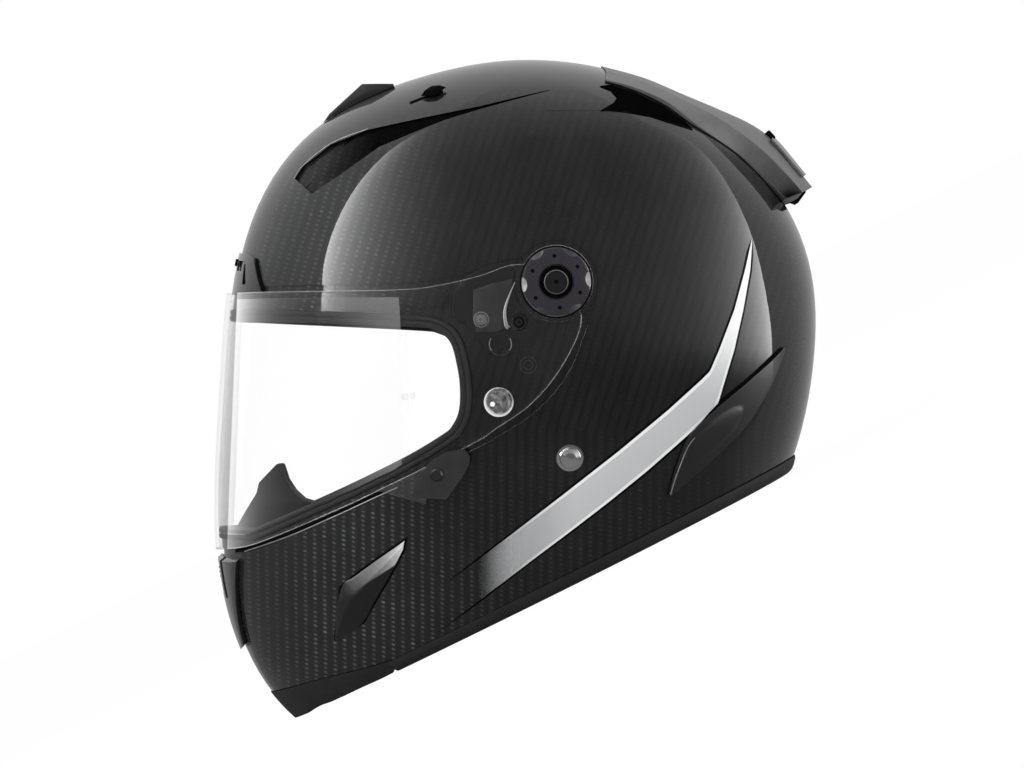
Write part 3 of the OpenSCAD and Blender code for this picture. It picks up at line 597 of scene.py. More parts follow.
def worn_side(sh):
    """Side view millimetres and x, in the shader."""
    x, y, z = sh.split(sh.place())
    y, z = y - PIVOT_Y, z - PIVOT_Z
    return x, y*COS_P - z*SIN_P, y*SIN_P + z*COS_P


# Width of the weave's columns and step of its bright floats, in millimetres
COLUMN_W, FLOAT_L = 4.7, 2.2


def carbon_weave():
    """Carbon twill under a deep clear coat: columns of short bright floats, painted brighter towards the front and the
    chin and fainter at the very front and towards the top as a painted sheen, with a painted lighter wash over the
    front; the crown's middle band is plain black.
    """
    sh = Shader("carbon_weave")
    x, y, z = worn_side(sh)
    nx, ny, nz = sh.split(sh.node("ShaderNodeNewGeometry").outputs["Normal"])
    side = abs(nx) > 0.42
    top = (abs(nz) > abs(ny)) * (1 - side)
    lean = (z + 70).op("MAXIMUM", 0.0)*0.3
    across = ((y - lean)*side + x*(1 - side))/COLUMN_W
    along = (z*(1 - top) + y*top)/FLOAT_L
    column = across.op("FLOOR")
    fu = across - column
    row = along + column*0.37 + fu*0.55
    fv = row - row.op("FLOOR")
    chance = sh.noise(sh.joined(column*7.3, row.op("FLOOR")*3.1), 1.0, 0.0)
    fibre = sh.noise(sh.joined(across*2.0, along*9.0), 1.0, 2.0)
    tow = (1 - ((fu - 0.5)/0.24)**2 - ((fv - 0.5)/0.34)**2).clamped()
    crest = 0.35 + 0.65*(1 - ((fu - 0.5)/0.5)**2).clamped()
    patch = sh.noise(sh.place(), 0.03, 2.0)
    streak = sh.noise(sh.joined(column*3.7, along*0.12), 1.0, 1.0)
    # Painted sheen: the floats brighten towards the front and the chin and fade at the very front and towards the top;
    # the front also gets a painted lighter wash that grows upward
    low = (-60.0 - z).op("MAXIMUM", 0.0)
    front = (0.35*low - y).step(40.0, 130.0)
    fade = (0.3 + 0.7*y.step(-136.0, -106.0))*(1 - 0.4*z.step(-20.0, 40.0))
    strength = 0.02 + (0.75*front + 0.12*low.step(0.0, 60.0))*(0.3 + 0.9*patch)*fade
    # Half the band's width grows from the brow to the crown
    half = y.step(-143.0, -60.0)*34.0 + 40.0
    back = y.step(40.0, 80.0)*(1 - z.step(30.0, 70.0))
    weave = ((abs(x) - half).step(-2.0, 2.0) + (z < -20.0) + back).clamped()
    threads = crest*patch*(0.01 + 0.06*streak) + tow*chance**1.5*(0.5 + fibre)*strength
    weave_and_painted_sheen = front*(0.03 + 0.1*z.step(-40.0, 20.0)) + weave*threads
    color = sh.mix(weave_and_painted_sheen.clamped(), grey(0.0022), grey(0.24, -0.02))
    return sh.finish(Base_Color=color, Roughness=0.5 - 0.1*tow*weave, IOR=1.45, Specular_IOR_Level=0.15,
                     Normal=sh.bump((crest*0.4 + tow*0.3)*weave*(0.25 + front), 0.04, 0.2),
                     Coat_Weight=1.0, Coat_Roughness=0.015, Coat_IOR=1.5)


def gloss_black(name="gloss_black", base=0.012, rough=0.16, coat=1.0):
    """Lacquered plastic with faint orange peel and scuffs."""
    sh = Shader(name)
    at = sh.place()
    orange = sh.noise(at, 0.35, 2.0)
    scuff = sh.noise(at, 0.06, 4.0, 0.6)
    return sh.finish(Base_Color=sh.mix(scuff, grey(base*0.85), grey(base*1.2)), Roughness=rough + 0.08*scuff,
                     Normal=sh.bump(orange, 0.02, 0.12), Coat_Weight=coat, Coat_Roughness=0.04)


def satin_black(name="satin_black", base=0.02, rough=0.42, gleam=0.5):
    """Finely grained plastic, a little polished in patches."""
    sh = Shader(name)
    at = sh.place()
    grain = sh.noise(at, 4.0, 3.0, 0.6)
    worn_off = sh.noise(at, 0.15, 4.0, 0.6)
    return sh.finish(Base_Color=sh.mix(worn_off, grey(base*0.8), grey(base*1.35)), Specular_IOR_Level=gleam,
                     Roughness=rough + 0.12*worn_off, Normal=sh.bump(grain, 0.05, 0.35))


def rubber():
    """Moulded rubber with a little dust."""
    sh = Shader("moulded_rubber")
    at = sh.place()
    grain = sh.noise(at, 6.0, 3.0, 0.7)
    dust = sh.noise(at, 0.08, 5.0, 0.6)
    return sh.finish(Base_Color=sh.mix(dust, grey(0.008), grey(0.018)), Roughness=0.62 + 0.18*dust,
                     Normal=sh.bump(grain, 0.06, 0.4))


def clear_plastic(name, body, edge, tint, top=1.0):
    """Clear plastic: a mirror film by its angle, so that it darkens nothing seen face on; top thins the visor's
    upper edge."""
    sh = Shader(name)
    _, y, z = worn_side(sh)
    fresnel = Number(sh, sh.node("ShaderNodeFresnel", None, {"IOR": 1.5}).outputs[0])
    haze = sh.noise(sh.place(), 0.03, 3.0)
    upper = (z > -14.0)*(y < -10.0)
    alpha = ((fresnel*edge + body*(0.7 + 0.6*haze))*(1 - (1 - top)*upper)).clamped()
    return sh.finish(True, Base_Color=tint, Metallic=1.0, Roughness=0.02 + 0.02*haze, Alpha=alpha)


# Rear limit of the visor's painted grey strip of shade at the height of the pivots
STRIP_Y = -153.9


def visor_clear(name, body, edge, patch=0.0):
    """Clear visor sheet in a white room: a painted reflection of the room that glows white by its angle, a painted
    grey strip of shade along its front edge, and a painted patch of mirrored light at the rear of the insert."""
    sh = Shader(name)
    _, y, z = worn_side(sh)
    slant = Number(sh, sh.node("ShaderNodeLayerWeight", None, {"Blend": 0.5}).outputs["Facing"])
    haze = sh.noise(sh.place(), 0.03, 3.0)
    strip = (y - 0.04*z) < STRIP_Y
    painted_room_reflection = edge*slant**5 + body*(0.7 + 0.6*haze) + patch*y.step(-112.0, -70.0)
    alpha = (painted_room_reflection*(1 - strip) + 0.16*strip).clamped()
    # The glow is painted light: near white for the room's reflection and the patch, grey in the strip
    return sh.finish(True, Base_Color=grey(0.2), Metallic=1.0, Roughness=0.02 + 0.02*haze, Alpha=alpha,
                     Emission_Color=sh.mix(strip, grey(0.9), grey(0.2)), Emission_Strength=1.0)


def knit(name, base, pitch, lift):
    """Knitted cloth: rows of small loops, painted lighter on their crests and darker between them as painted shade."""
    sh = Shader(name)
    x, y, z = worn_side(sh)
    nx, _, _ = sh.split(sh.node("ShaderNodeNewGeometry").outputs["Normal"])
    side = abs(nx) > 0.6
    a = (y*side + x*(1 - side)) / pitch
    b = (z*side + (y + z)*(1 - side)) / pitch
    loops = (a*math.tau).op("SINE")*(b*math.tau + (a*math.tau).op("SINE")).op("SINE")
    fuzz = sh.noise(sh.place(), 3.0, 3.0, 0.7)
    wear = sh.noise(sh.place(), 0.03, 3.0)
    # Painted shade: the colour follows the loops' relief, darker between them
    lit = (0.35 + 0.35*loops + 0.3*fuzz).clamped()
    color = sh.mix(lit, grey(base*0.45), grey(base*1.3))
    return sh.finish(Base_Color=color, Roughness=0.85 + 0.1*wear, Sheen_Weight=0.25, Sheen_Roughness=0.5,
                     Normal=sh.bump(loops + fuzz*0.7, lift, 0.7))


def bead_foam():
    """Impact foam of pressed beads."""
    sh = Shader("bead_foam")
    cells = sh.node("ShaderNodeTexVoronoi", {"feature": "DISTANCE_TO_EDGE"}, {"Vector": sh.place(), "Scale": 0.32})
    edge = Number(sh, cells.outputs[0]).step(0.0, 0.18)
    return sh.finish(Base_Color=sh.mix(edge, grey(0.02), grey(0.05)), Roughness=0.8 - 0.1*edge,
                     Normal=sh.bump(edge, 0.3, 0.6))


def webbing():
    """Woven strap: slanted rows of yarn."""
    sh = Shader("strap_webbing")
    x, y, z = sh.split(sh.place())
    rows = (((x + z)*1.1 + y*0.55)*math.pi).op("SINE")
    cross = (y*0.9*math.pi).op("SINE")
    yarn = 0.6*abs(rows) + 0.4*abs(cross)
    fuzz = sh.noise(sh.place(), 5.0, 2.0)
    color = sh.mix((yarn*0.8 + fuzz*0.3).clamped(), grey(0.008), grey(0.04))
    return sh.finish(Base_Color=color, Roughness=0.72 + 0.1*fuzz, Sheen_Weight=0.15,
                     Normal=sh.bump(yarn, 0.25, 0.8))


def vent_mesh():
    """Fine black mesh behind the side exhausts."""
    sh = Shader("vent_mesh")
    _, y, z = worn_side(sh)
    wire = abs((y*1.9*math.pi).op("SINE")*(z*1.9*math.pi).op("SINE")).step(0.15, 0.5)
    dust = sh.noise(sh.place(), 0.3, 3.0)
    return sh.finish(Base_Color=sh.mix(wire, grey(0.005), grey(0.0005)), Roughness=0.7 + 0.2*dust,
                     Specular_IOR_Level=0.0, Normal=sh.bump(1 - wire, 0.2, 0.8))


def groove_painted_shadow():
    """Painted shadow in the crown's grooves, a black film; the weave shows through it at their front ends."""
    sh = Shader("groove_painted_shadow")
    _, y, _ = worn_side(sh)
    dust = sh.noise(sh.place(), 0.3, 3.0)
    return sh.finish(True, Base_Color=sh.mix(dust, grey(0.001), grey(0.005)), Roughness=0.7 + 0.2*dust,
                     Specular_IOR_Level=0.0, Alpha=0.3 + 0.65*y.step(-115.0, -75.0))


def fin_black_with_painted_highlight():
    """Gloss black of the chin's side vents, with a painted highlight along the upper lip that grows towards its tip.
    """
    sh = Shader("fin_black_with_painted_highlight")
    _, y, z = worn_side(sh)
    smear = sh.noise(sh.place(), 0.5, 3.0, 0.7)
    lip = ((z + 149.0) - (y + 99.0)*0.656).step(-0.3, 0.5)
    highlight_to_tip = ((y + 101.0)/29.0).clamped()
    # Painted highlight along the upper lip, brightest towards its tip
    color = sh.mix((lip*(0.01 + highlight_to_tip**3)*(0.4 + 1.1*smear)).clamped(), grey(0.005), grey(0.75))
    return sh.finish(Base_Color=color, Roughness=0.3 + 0.1*smear, Normal=sh.bump(smear, 0.02, 0.2),
                     Coat_Weight=0.4, Coat_Roughness=0.06)


# The pivot cover's six scallops: balls of this radius round places off the skin and off the pivot axis
SCALLOP_R, SCALLOP_OFF, SCALLOP_OUT, SCALLOP_TURN = 9.0, 13.6, 19.2, 5


def anodised():
    """Dark anodised cover with six scallops cut into its rim, painted bright as a painted reflection, most on those
    towards the front and back.
    """
    sh = Shader("cover_anodised")
    x, y, z = worn_side(sh)
    turn = (z.op("ARCTAN2", y) - math.radians(SCALLOP_TURN)).op("WRAP", math.pi/6, -math.pi/6)
    out = (y*y + z*z)**0.5
    inset = (abs(x) - HALF_W - SCALLOP_OFF)**2 + (out*turn.op("COSINE") - SCALLOP_OUT)**2 + (out*turn.op("SINE"))**2
    scallop = (inset**0.5 < SCALLOP_R + 0.04)*(out > 12.0)
    smear = sh.noise(sh.place(), 0.2, 3.0)
    violet = sh.mix(smear, (0.016, 0.014, 0.02, 1), (0.024, 0.021, 0.03, 1))
    # Painted reflection: the scallops are painted light grey, most on those facing the front and back
    color = sh.mix(scallop*(0.03 + (y/out)**4), violet, grey(0.34))
    return sh.finish(Base_Color=color, Metallic=0.2*scallop, Roughness=0.22 + 0.1*smear, Coat_Weight=0.5,
                     Normal=sh.bump(smear, 0.01, 0.1))


POST_Y, POST_Z = -26.8, -56.0


def clear_post():
    """Cast clear plastic of the tear-off posts, with a painted highlight round its rim and a painted glint."""
    sh = Shader("clear_post")
    _, y, z = worn_side(sh)
    # Painted highlight round the rim and a painted glint, in both the colour and the opacity
    edge = (((y - POST_Y)**2 + (z - POST_Z)**2)**0.5).step(5.6, 6.9)
    swirl = (sh.noise(sh.place(), 0.4, 2.0, 0.7) - 0.42)*3.0
    painted_glint = 1 - ((y + 30.0)**2 + (z + 57.5)**2).step(0.4, 2.2)
    color = sh.mix((edge*0.9 + painted_glint + swirl.clamped()*0.5).clamped(), grey(0.07), grey(0.95))
    return sh.finish(True, Base_Color=color, Roughness=0.08 + 0.1*edge, Alpha=(0.55 + 0.4*edge + painted_glint).clamped(),
                     Coat_Weight=0.5)


def metal(name, base, rough, brushed=0.0):
    """Steel, smooth or brushed along x."""
    sh = Shader(name)
    x, y, z = sh.split(sh.place())
    streak = sh.noise(sh.joined(x*0.3, y*6.0, z*6.0), 1.0, 3.0)
    smear = sh.noise(sh.place(), 0.2, 3.0)
    return sh.finish(Base_Color=sh.mix(smear, grey(base*0.92), grey(base)), Metallic=1.0,
                     Roughness=rough + brushed*streak + 0.05*smear, Normal=sh.bump(streak, 0.01, brushed))


def paint(name, base, metallic, fade, blade=None, gleam=1.0):
    """Paint of the stripe: it thins out to the front over the stretch fade and turns white along blade."""
    sh = Shader(name)
    _, y, z = worn_side(sh)
    flake = sh.noise(sh.place(), 9.0, 2.0)
    color = sh.mix(flake, grey(base*0.92, -0.015), grey(base*1.05, -0.015))
    if blade:
        color = sh.mix(y.step(*blade)*(z + 60.0).step(0.0, 40.0), color, grey(0.95))
    return sh.finish(True, Base_Color=color, Metallic=metallic, Roughness=0.34 + 0.06*flake, Coat_Weight=gleam,
                     Specular_IOR_Level=0.5*gleam, Coat_Roughness=0.03, Alpha=y.step(*fade))


CARBON = carbon_weave()
GLOSS = gloss_black()
TAIL = gloss_black("extractor_black", 0.012, 0.3, 0.25)
SATIN = satin_black()
COVER = anodised()
POST = clear_post()
DARK_STEEL = metal("blackened_steel", 0.12, 0.3)
# Matt black of small dark parts, also laid as painted shade in seams, gaps and recesses
BLACK_AND_SHADE = satin_black("matt_black_and_painted_shade", 0.003, 0.7, 0.02)
BUTTON = satin_black("button_black", 0.008, 0.3, 0.25)
SPOILER = satin_black("spoiler_satin", 0.115, 0.36)
MOUNT_GREY = satin_black("mount_grey", 0.02, 0.32)
GROOVE_SHADOW = groove_painted_shadow()
FIN = fin_black_with_painted_highlight()
POST_GREY = satin_black("cast_clear_grey", 0.09, 0.12)
MESH = vent_mesh()
PLATE = satin_black("lock_plate_grey", 0.022, 0.36)
RUBBER = rubber()
# The visor and the insert glow with a painted reflection of the room; the insert's last number is its painted patch of
# mirrored light
CLEAR = visor_clear("clear_visor", 0.002, 1.8)
FILM = visor_clear("insert_film", 0.004, 2.0, 0.07)
PINS = clear_plastic("clear_pins", 0.03, 0.3, grey(0.95))
MOUNT = satin_black("mount_black", 0.006, 0.3)
SMOKED = clear_plastic("clear_lip", 0.3, 0.6, grey(0.3))
RIM = clear_plastic("visor_edge", 0.1, 0.4, grey(0.8))
VISOR_LINE = clear_plastic("visor_edge_line", 0.12, 0.5, grey(0.8), 0.35)
LINING = knit("lining_knit", 0.035, 1.3, 0.25)
PAD_SIDE = knit("pad_side_cloth", 0.018, 1.6, 0.3)
FOAM = bead_foam()
WEB = webbing()
CHROME = metal("polished_steel", 0.82, 0.06)
STEEL = metal("plated_steel", 0.55, 0.28, 0.15)
STRIPE_BLACK = paint("stripe_black", 0.002, 0.0, (-60, -20), gleam=0.04)
STRIPE_WHITE = paint("stripe_white", 0.95, 0.0, (-38, 12))
STRIPE_SILVER = paint("stripe_silver", 0.66, 0.15, (-36, 12), (52, 95))


def coat(obj, material):
    """One material in place of all the object has."""
    obj.data.materials.clear()
    obj.data.materials.append(material)


def piece(obj, name, material, body="helmet", replaces=(), angle=35):
    """The object as a finished piece: shaded, riding on its body, in place of the nodes it replaces."""
    obj.name = obj.data.name = name
    coat(obj, material)
    if angle is not None:
        shade(obj, angle)
    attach(obj, body)
    if replaces:
        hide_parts(*replaces)
    return obj


# --- Shell, trim and seal

def curve(points, n=8):
    """Side view outline with its corners eased, between far ends that stay as they are."""
    p = np.asarray(points, float)
    return np.vstack([p[:1], bend(p[1:-1], n), p[-1:]])


def line(name, points, r, off, material):
    """A bead as a piece of its own."""
    return piece(bead(points, r, off), name, material, angle=60)


# Side view outlines and lines; those that start and end at y = -260 run off in front of the shell
PORT = [[-260, -117.5], [-145, -117.5], [-114.7, -104], [-92.4, -93.5], [-71.1, -82.6], [-53.5, -71.7],
        [-48.8, -67], [-45.9, -60], [-45.5, -49.4], [-46.9, -39], [-50.2, -28.1], [-57.3, -22.9],
        [-72.5, -21], [-149.3, -17.7], [-260, -17.7]]
VISOR = [[-260, -128.4], [-164, -128.4], [-148, -126], [-127.2, -118], [-103.3, -107.5], [-86.9, -99.8],
         [-40.7, -76.9], [-27.9, -68.8], [-11.4, -57], [2.8, -39.5], [11.8, -18.7],
         [6, -6], [-6, 6], [-20.4, 8.1], [-36, 3], [-54.8, -1.3], [-73.5, -3.4], [-121.5, -3.9], [-260, -3.9]]
INSERT = [[-260, -121], [-150, -121], [-103, -101], [-84, -92], [-74.5, -87], [-73, -80], [-73.3, -31],
          [-74.5, -7], [-260, -7]]
CHIN_EDGE = [[-260, -198], [-137.7, -198], [-112.8, -190], [-92.5, -184.6]]
GROOVE = [[-125.6, 51], [-121.8, 56.8], [-107.9, 67.4], [-90, 74], [-63.1, 79.4], [-36.2, 84.7], [-3, 92.9],
          [-3, 92.5], [-36, 83.2], [-53, 78], [-67.9, 72], [-84.2, 65.3], [-102, 52.8], [-116.8, 43.2]]
GROOVE_DEPTH, BED_DEPTH, BED_BORDER = 1.4, 0.9, 3
SEAL_ROOM, WELL_R, WELL_DEPTH = 6, 19.8, 1.5
TRIM_START, TRIM_H, TRIM_DEPTH = -77.0, 6.0, 2.5
SLIDER, SLIDER_WAY = (-62, 90), unit([-22.5, -8])
port, visor_edge = curve(PORT), curve(VISOR)

shell = skin_solid(0)
carve(shell, skin_solid(-WALL), prism(grown(port, SEAL_ROOM)))
grooves = carve(prism(GROOVE), skin_solid(-GROOVE_DEPTH))
bed = carve(prism(grown(visor_edge, BED_BORDER)), prism(visor_edge), skin_solid(-BED_DEPTH))
neck = prism([[-260, -420], *CHIN_EDGE, above_floor(TRIM_START, TRIM_H),
              above_floor(TRIM_START, TRIM_H - TRIM_DEPTH), above_floor(220, TRIM_H - TRIM_DEPTH), [220, -420]])
wells = pair(cylinder(WELL_R, -WELL_DEPTH, 8, at_pivot()))
slots = pair(block((-8.5, -1.6, -8), (8.5, 1.6, 8), at_side(*SLIDER, SLIDER_WAY)))
carve(shell, grooves, bed, neck, wells, slots)
shade_on_skin(piece(shell, "laminate_shell", CARBON, replaces=("outer_shell",)))

bed_line = carve(film_on_skin(grown(visor_edge, 2.9), -BED_DEPTH, -0.7), prism(grown(visor_edge, 0.1)))
piece(bed_line, "visor_bed_line", CARBON, angle=None)
# Painted highlight: a thin clear bead along the visor bed's lower rear edge
line("visor_bed_highlight", [[-44, -81.5], [-27.9, -73], [-9, -60.5], [6, -42.5], [15, -20]], 0.22, 0.12, RIM)
# Painted shadow: a black film on the floor of the crown's grooves
piece(film_on_skin(GROOVE, -GROOVE_DEPTH, -1.2), "groove_shadow_film", GROOVE_SHADOW, angle=None)
# Painted highlight: a thin steel bead along the top edge of the chin bar
line("chin_bar_highlight", [[-150, -129], [-127.8, -121], [-104, -110.5], [-88, -103], [-75, -97]], 0.35, 0.1,
     STEEL)
# Painted shadow: a black film in the visor's bed where its lower edge meets the chin bar
chin_gap_shadow = carve(film_on_skin(grown(visor_edge, 2.4), -BED_DEPTH, -0.4), prism(grown(visor_edge, -0.4)))
within(chin_gap_shadow, prism([[-155, -140], [-82, -108], [-82, -90], [-155, -118]]))
piece(chin_gap_shadow, "chin_bar_gap_shadow", BLACK_AND_SHADE, angle=None)
# Painted highlight: a thin steel bead along the front of the groove's upper edge
line("groove_edge_highlight", [[-125.6, 51.3], [-121.8, 57.1], [-107.9, 67.8], [-90, 74.4]], 0.25, 0, STEEL)
line("crown_crease", [[-4.5, 82.6], [25, 82.8], [32.6, 82.3], [45.5, 80.3], [54.6, 77.5], [66.2, 74.3]], 0.35, -0.1,
     GLOSS)

# Middle of the neck opening, stood, counted from the pivot axis
NECK_Y = -40.0


def cast(h, turn, off, n=40):
    """Points of the skin at stood height h where a level ray from the neck's middle at angle turn meets it."""
    h, turn, off = np.broadcast_arrays(*(np.asarray(v, float) for v in (h, turn, off)))
    way = np.stack([cosd(turn), sind(turn)*COS_P, sind(turn)*SIN_P], -1)
    z0 = h - PIVOT_Z
    start = np.stack([np.zeros_like(h), -z0*SIN_P, z0*COS_P], -1) + np.array([0, NECK_Y*COS_P, NECK_Y*SIN_P])
    lo, hi = np.zeros_like(h), np.full_like(h, 260.0)
    for _ in range(n):
        mid = (lo + hi)/2
        inside = gauge(start + way*mid[..., None], off) < 1
        lo, hi = np.where(inside, mid, lo), np.where(inside, hi, mid)
    return start + way*lo[..., None]


# The trim starts where the chin bar ends, so its ends turn with the angle of that point
end_z = above_floor(TRIM_START, TRIM_H/2)[1]
end_y = TRIM_START*COS_P + end_z*SIN_P - NECK_Y
end_turn = math.degrees(math.atan2(end_y, float(skin_x(TRIM_START, end_z))))
trim_off, trim_h = np.array([
    [-4.4, 0.9], [-3.7, 0.05], [0.6, 0.05], [1.3, 0.8], [1.4, 2.2], [1.1, 4.6], [0.5, 5.9], [0.05, 6.0],
    [0.02, 3.6], [-3.02, 3.6], [-3.05, 6.0], [-3.6, 5.9], [-4.2, 4.6], [-4.5, 2.4]]).T
trim = solid(ring_solid([cast(trim_h, turn, trim_off) for turn in np.linspace(end_turn, 180 - end_turn, 181)]))
piece(trim, "neck_trim", RUBBER, replaces=("neck_edge_trim",), angle=50)

SEAL_LIPS = [[2.0, 5.4], [1.2, 5.9], [-1.9, 5.9], [-4.4, 5.2], [-4.6, 2.6], [-4.2, 0.6], [-2.6, 0.1], [-1.2, 0.3],
             [-0.9, 1.4], [-0.4, 1.9], [0.2, 1.2], [1.0, 0.2], [1.7, 0.5], [2.1, 1.6], [2.0, 2.8], [1.5, 3.3],
             [2.1, 3.9]]
port_rim = rim(port, 260, -1.0)
seal = solid(sweep(port_rim, skin_normal(port_rim), SEAL_LIPS, closed=True))
piece(seal, "port_seal", RUBBER, replaces=("eyeport_seal",), angle=60)

# --- Visor

GAP, LENS = 1.9, 2.2
EAR_LO, EAR_R, BOSS_R, COVER_ROOM = 1.0, 17.4, 7.0, 18.8
lens = within(carve(skin_solid(GAP + LENS), skin_solid(GAP)), prism(visor_edge))
carve(lens, pair(cylinder(EAR_R, EAR_LO, EAR_LO + LENS, at_pivot(), 128)), operation="UNION")
carve(lens, pair(cylinder(EAR_R - 0.5, -20, EAR_LO, at_pivot(), 128)),
      pair(cylinder(COVER_ROOM, EAR_LO + LENS, 26, at_pivot(), 128)),
      pair(cylinder(BOSS_R + 0.05, -20, 20, at_pivot())))
shade_on_skin(piece(lens, "visor_shield", CLEAR, "visor", ("visor_lens",)))
shade_on_skin(piece(film_on_skin(curve(INSERT, 6), GAP - 0.6, GAP - 0.1), "insert", FILM, "visor",
                    ("antifog_insert",)))

# --- Vents and panels

CHIN_SLOT_A, BROW_SLOT_A = 221.5, 176.6


def slotted(vent, angle, middle, beside, apart):
    """Vent with a slot at angle on its middle line and one on each side, each given by its ends and half width."""
    def slot(x0, x1, half, y=0):
        return block((x0, y - half, -8), (x1, y + half, 12), at_middle(angle))
    return carve(vent, solid(slot(*middle)), solid(joined(*(slot(*beside, y) for y in (-apart, apart)))))


def chin_vent_height(u, v):
    """Flat, and lower at both ends."""
    return 3.2 - 0.5*(2*u - 1)**6


top = over_middle([[-152.4, -132.4], [-159, -132.4]], 218.8, 12)
low = [[229.2, 90 + k*1.4] for k in range(-6, 7)]
vent = solid(panel(top, low, SEAT, chin_vent_height, 80, 24))
slotted(vent, CHIN_SLOT_A, (-7.5, 7.5, 8), (-10, 10, 3), 17)
piece(rounded(vent, 0.5), "chin_vent", GLOSS, replaces=("chin_vent_housing",), angle=30)

here = at_middle(CHIN_SLOT_A)
ribs = [block((k*2.2 - 3.5, -5.5, 1.4), (k*2.2 - 2.5, 5.5, 2.6), here) for k in (-1, 0, 1)]
button = solid(joined(block((-6.8, -6.6, 0.5), (0.8, 6.6, 1.4), here), *ribs))
piece(rounded(button, 0.2), "chin_slide_button", SATIN, "chin_slider", ("chin_vent_slider",), 30)


def vent_row(up, t):
    return through_middle(bend([[BROW_SLOT_A + a, b] for a, b in zip(up, t)], 12))


vent = solid(panel(vent_row([-1.6, -2.2, -2.6], [69.8, 74.8, 90]), vent_row([5.0]*3, [63.4, 71.3, 90]),
                   SEAT, 1.3, 90, 12))
slotted(vent, BROW_SLOT_A, (-4, 4, 9), (-3, 2, 9), 24)
piece(rounded(vent, 0.3), "brow_vent", GLOSS, replaces=("brow_vent_housing",), angle=30)
# Painted shade: black beads along the brow vent's edge seam and along its grooves
seam = skin(np.linspace(175.1, 181.4, 8), np.linspace(69.4, 63.2, 8))[:, 1:]
line("brow_vent_seam_shade", seam, 0.5, 0.5, BLACK_AND_SHADE)
groove = skin(np.linspace(176.2, 179.8, 6), np.linspace(76.3, 74.4, 6))[:, 1:]
line("brow_vent_groove_shade", groove, (0.7, 1.3), 0.9, BLACK_AND_SHADE)


def fin_height(u, v):
    """Ridge of the chin's side vent, lower towards both ends."""
    return 0.7 + 3.4*np.minimum(v/0.42, (1 - v)/0.58)*sind(25 + 150*u)


def extractor_height(u, v):
    """Low crown of the extractor, with its oval dome."""
    dome = np.clip(1 - ((u - 0.62)/0.2)**2 - ((v - 0.5)/0.32)**2, 0, 1)**0.5
    return 0.9 + 0.3*sind(180*u) + 0.9*dome


side_top = on_skin([[-105.5, -169], [-102.3, -145.6], [-95.6, -139.5], [-84, -131], [-71.8, -122.3]], 0)
side_low = on_skin([[-103.5, -170], [-91.8, -161.4], [-86, -151], [-79.5, -140], [-72.5, -126.5]], 0)
fin = panel(bend(side_top, 6), bend(side_low, 6), SEAT, fin_height, 60, 25)
# Painted shadow: a thin black film round the foot of each side vent
fin_gap_outline = [[-91.6, -162], [-85.8, -151.6], [-79.2, -140.6], [-72, -127], [-71, -121.4], [-84.2, -130.4],
            [-96, -139], [-103, -145.2], [-105.8, -170]]
piece(film_on_skin(grown(fin_gap_outline, 0.5), 0.02, 0.2), "fin_gap_shadows", BLACK_AND_SHADE, angle=None)
rear_top = on_skin([[109.2, -30], [94, -44.2], [77.4, -58], [63.2, -72.2], [56.5, -88], [53.2, -100.7]])
rear_low = on_skin([[109.4, -32], [103.1, -47.1], [88.4, -69.9], [81.2, -77], [66.5, -90.7], [54.5, -100.9]])
tail = panel(bend(rear_top, 6), bend(rear_low, 6), SEAT, extractor_height, 90, 30)
mesh_edge = [[26.8, 92.9], [29.6, 89.4], [27.8, 86.6], [21.5, 82.6], [24.3, 82.8], [32.6, 82.3], [45.5, 80.3],
             [54.6, 77.5], [66.2, 74.3], [61.9, 78.8], [52.7, 85.6], [37.4, 92.9], [26.8, 96.2], [21.5, 95.2]]
piece(film_on_skin(mesh_edge, 0.05, 0.4), "exhaust_mesh", MESH,
      replaces=("exhaust_grille_left", "exhaust_grille_right"), angle=30)
for shape, name, node, material in ((fin, "side_fin", "side_vent", FIN), (tail, "extractor", "rear_extractor", TAIL)):
    for end, obj in left_and_right(shape):
        piece(rounded(obj, 0.35), f"{name}_{end}", material, replaces=(f"{node}_{end}",))
# Painted highlight: a thin polished steel bead along the extractor's lower end
line("extractor_edge_highlight", [[66, -73.5], [62.4, -78.6], [56.8, -93], [54.6, -100.5]], 0.35, 0.9, CHROME)
# Painted shade: a black bead along the extractor's upper edge
line("extractor_edge_shadow", [[108.4, -30.8], [94.2, -43.8], [77.6, -57.4], [67.5, -68.5]], 0.45, 0.5, BLACK_AND_SHADE)

# --- Spoiler, its clear lip, and the scoop

# From front to back. Middle: angle and height. Crease: angles and height. Lower edge: side view point and height
TOPS = [[78, 1.0], [67, 1.8], [56, 3.4], [46.8, 7.6], [39.6, 12.4], [33.7, 14.8], [26.2, 15.2], [21, 16.4]]
CREASES = [[76.5, 75, 1.0], [67, 74, 2], [56, 73, 3.4], [46.5, 72.5, 6.4], [38.5, 73, 8.5], [32, 74, 10],
           [25.5, 75.5, 11], [20.5, 77, 12]]
EDGES = [[24, 97.5, 1.0], [37, 93.6, 1.6], [53, 86, 2.2], [67, 76, 1.4], [88.5, 62.5, 0.7], [98.5, 53.5, 0.7],
         [108.5, 43, 0.7], [114, 37.5, 0.7]]
ROW_STEPS = 8
rows = []
for (ta, th), (ca, ct, ch), (ey, ez, eh) in zip(TOPS, CREASES, EDGES):
    rows.append(np.concatenate([skin(ta, 90, th), skin(ca, ct, ch), skin(*on_skin([[ey, ez]])[0], eh)]))
rows = bend(rows, ROW_STEPS).reshape(-1, 3, 3)


def lifted(p, d):
    """Points moved d millimetres away from the pivot axis."""
    k = 1 + d/np.hypot(p[..., 1], p[..., 2])
    return np.stack([p[..., 0], p[..., 1]*k, p[..., 2]*k], -1)


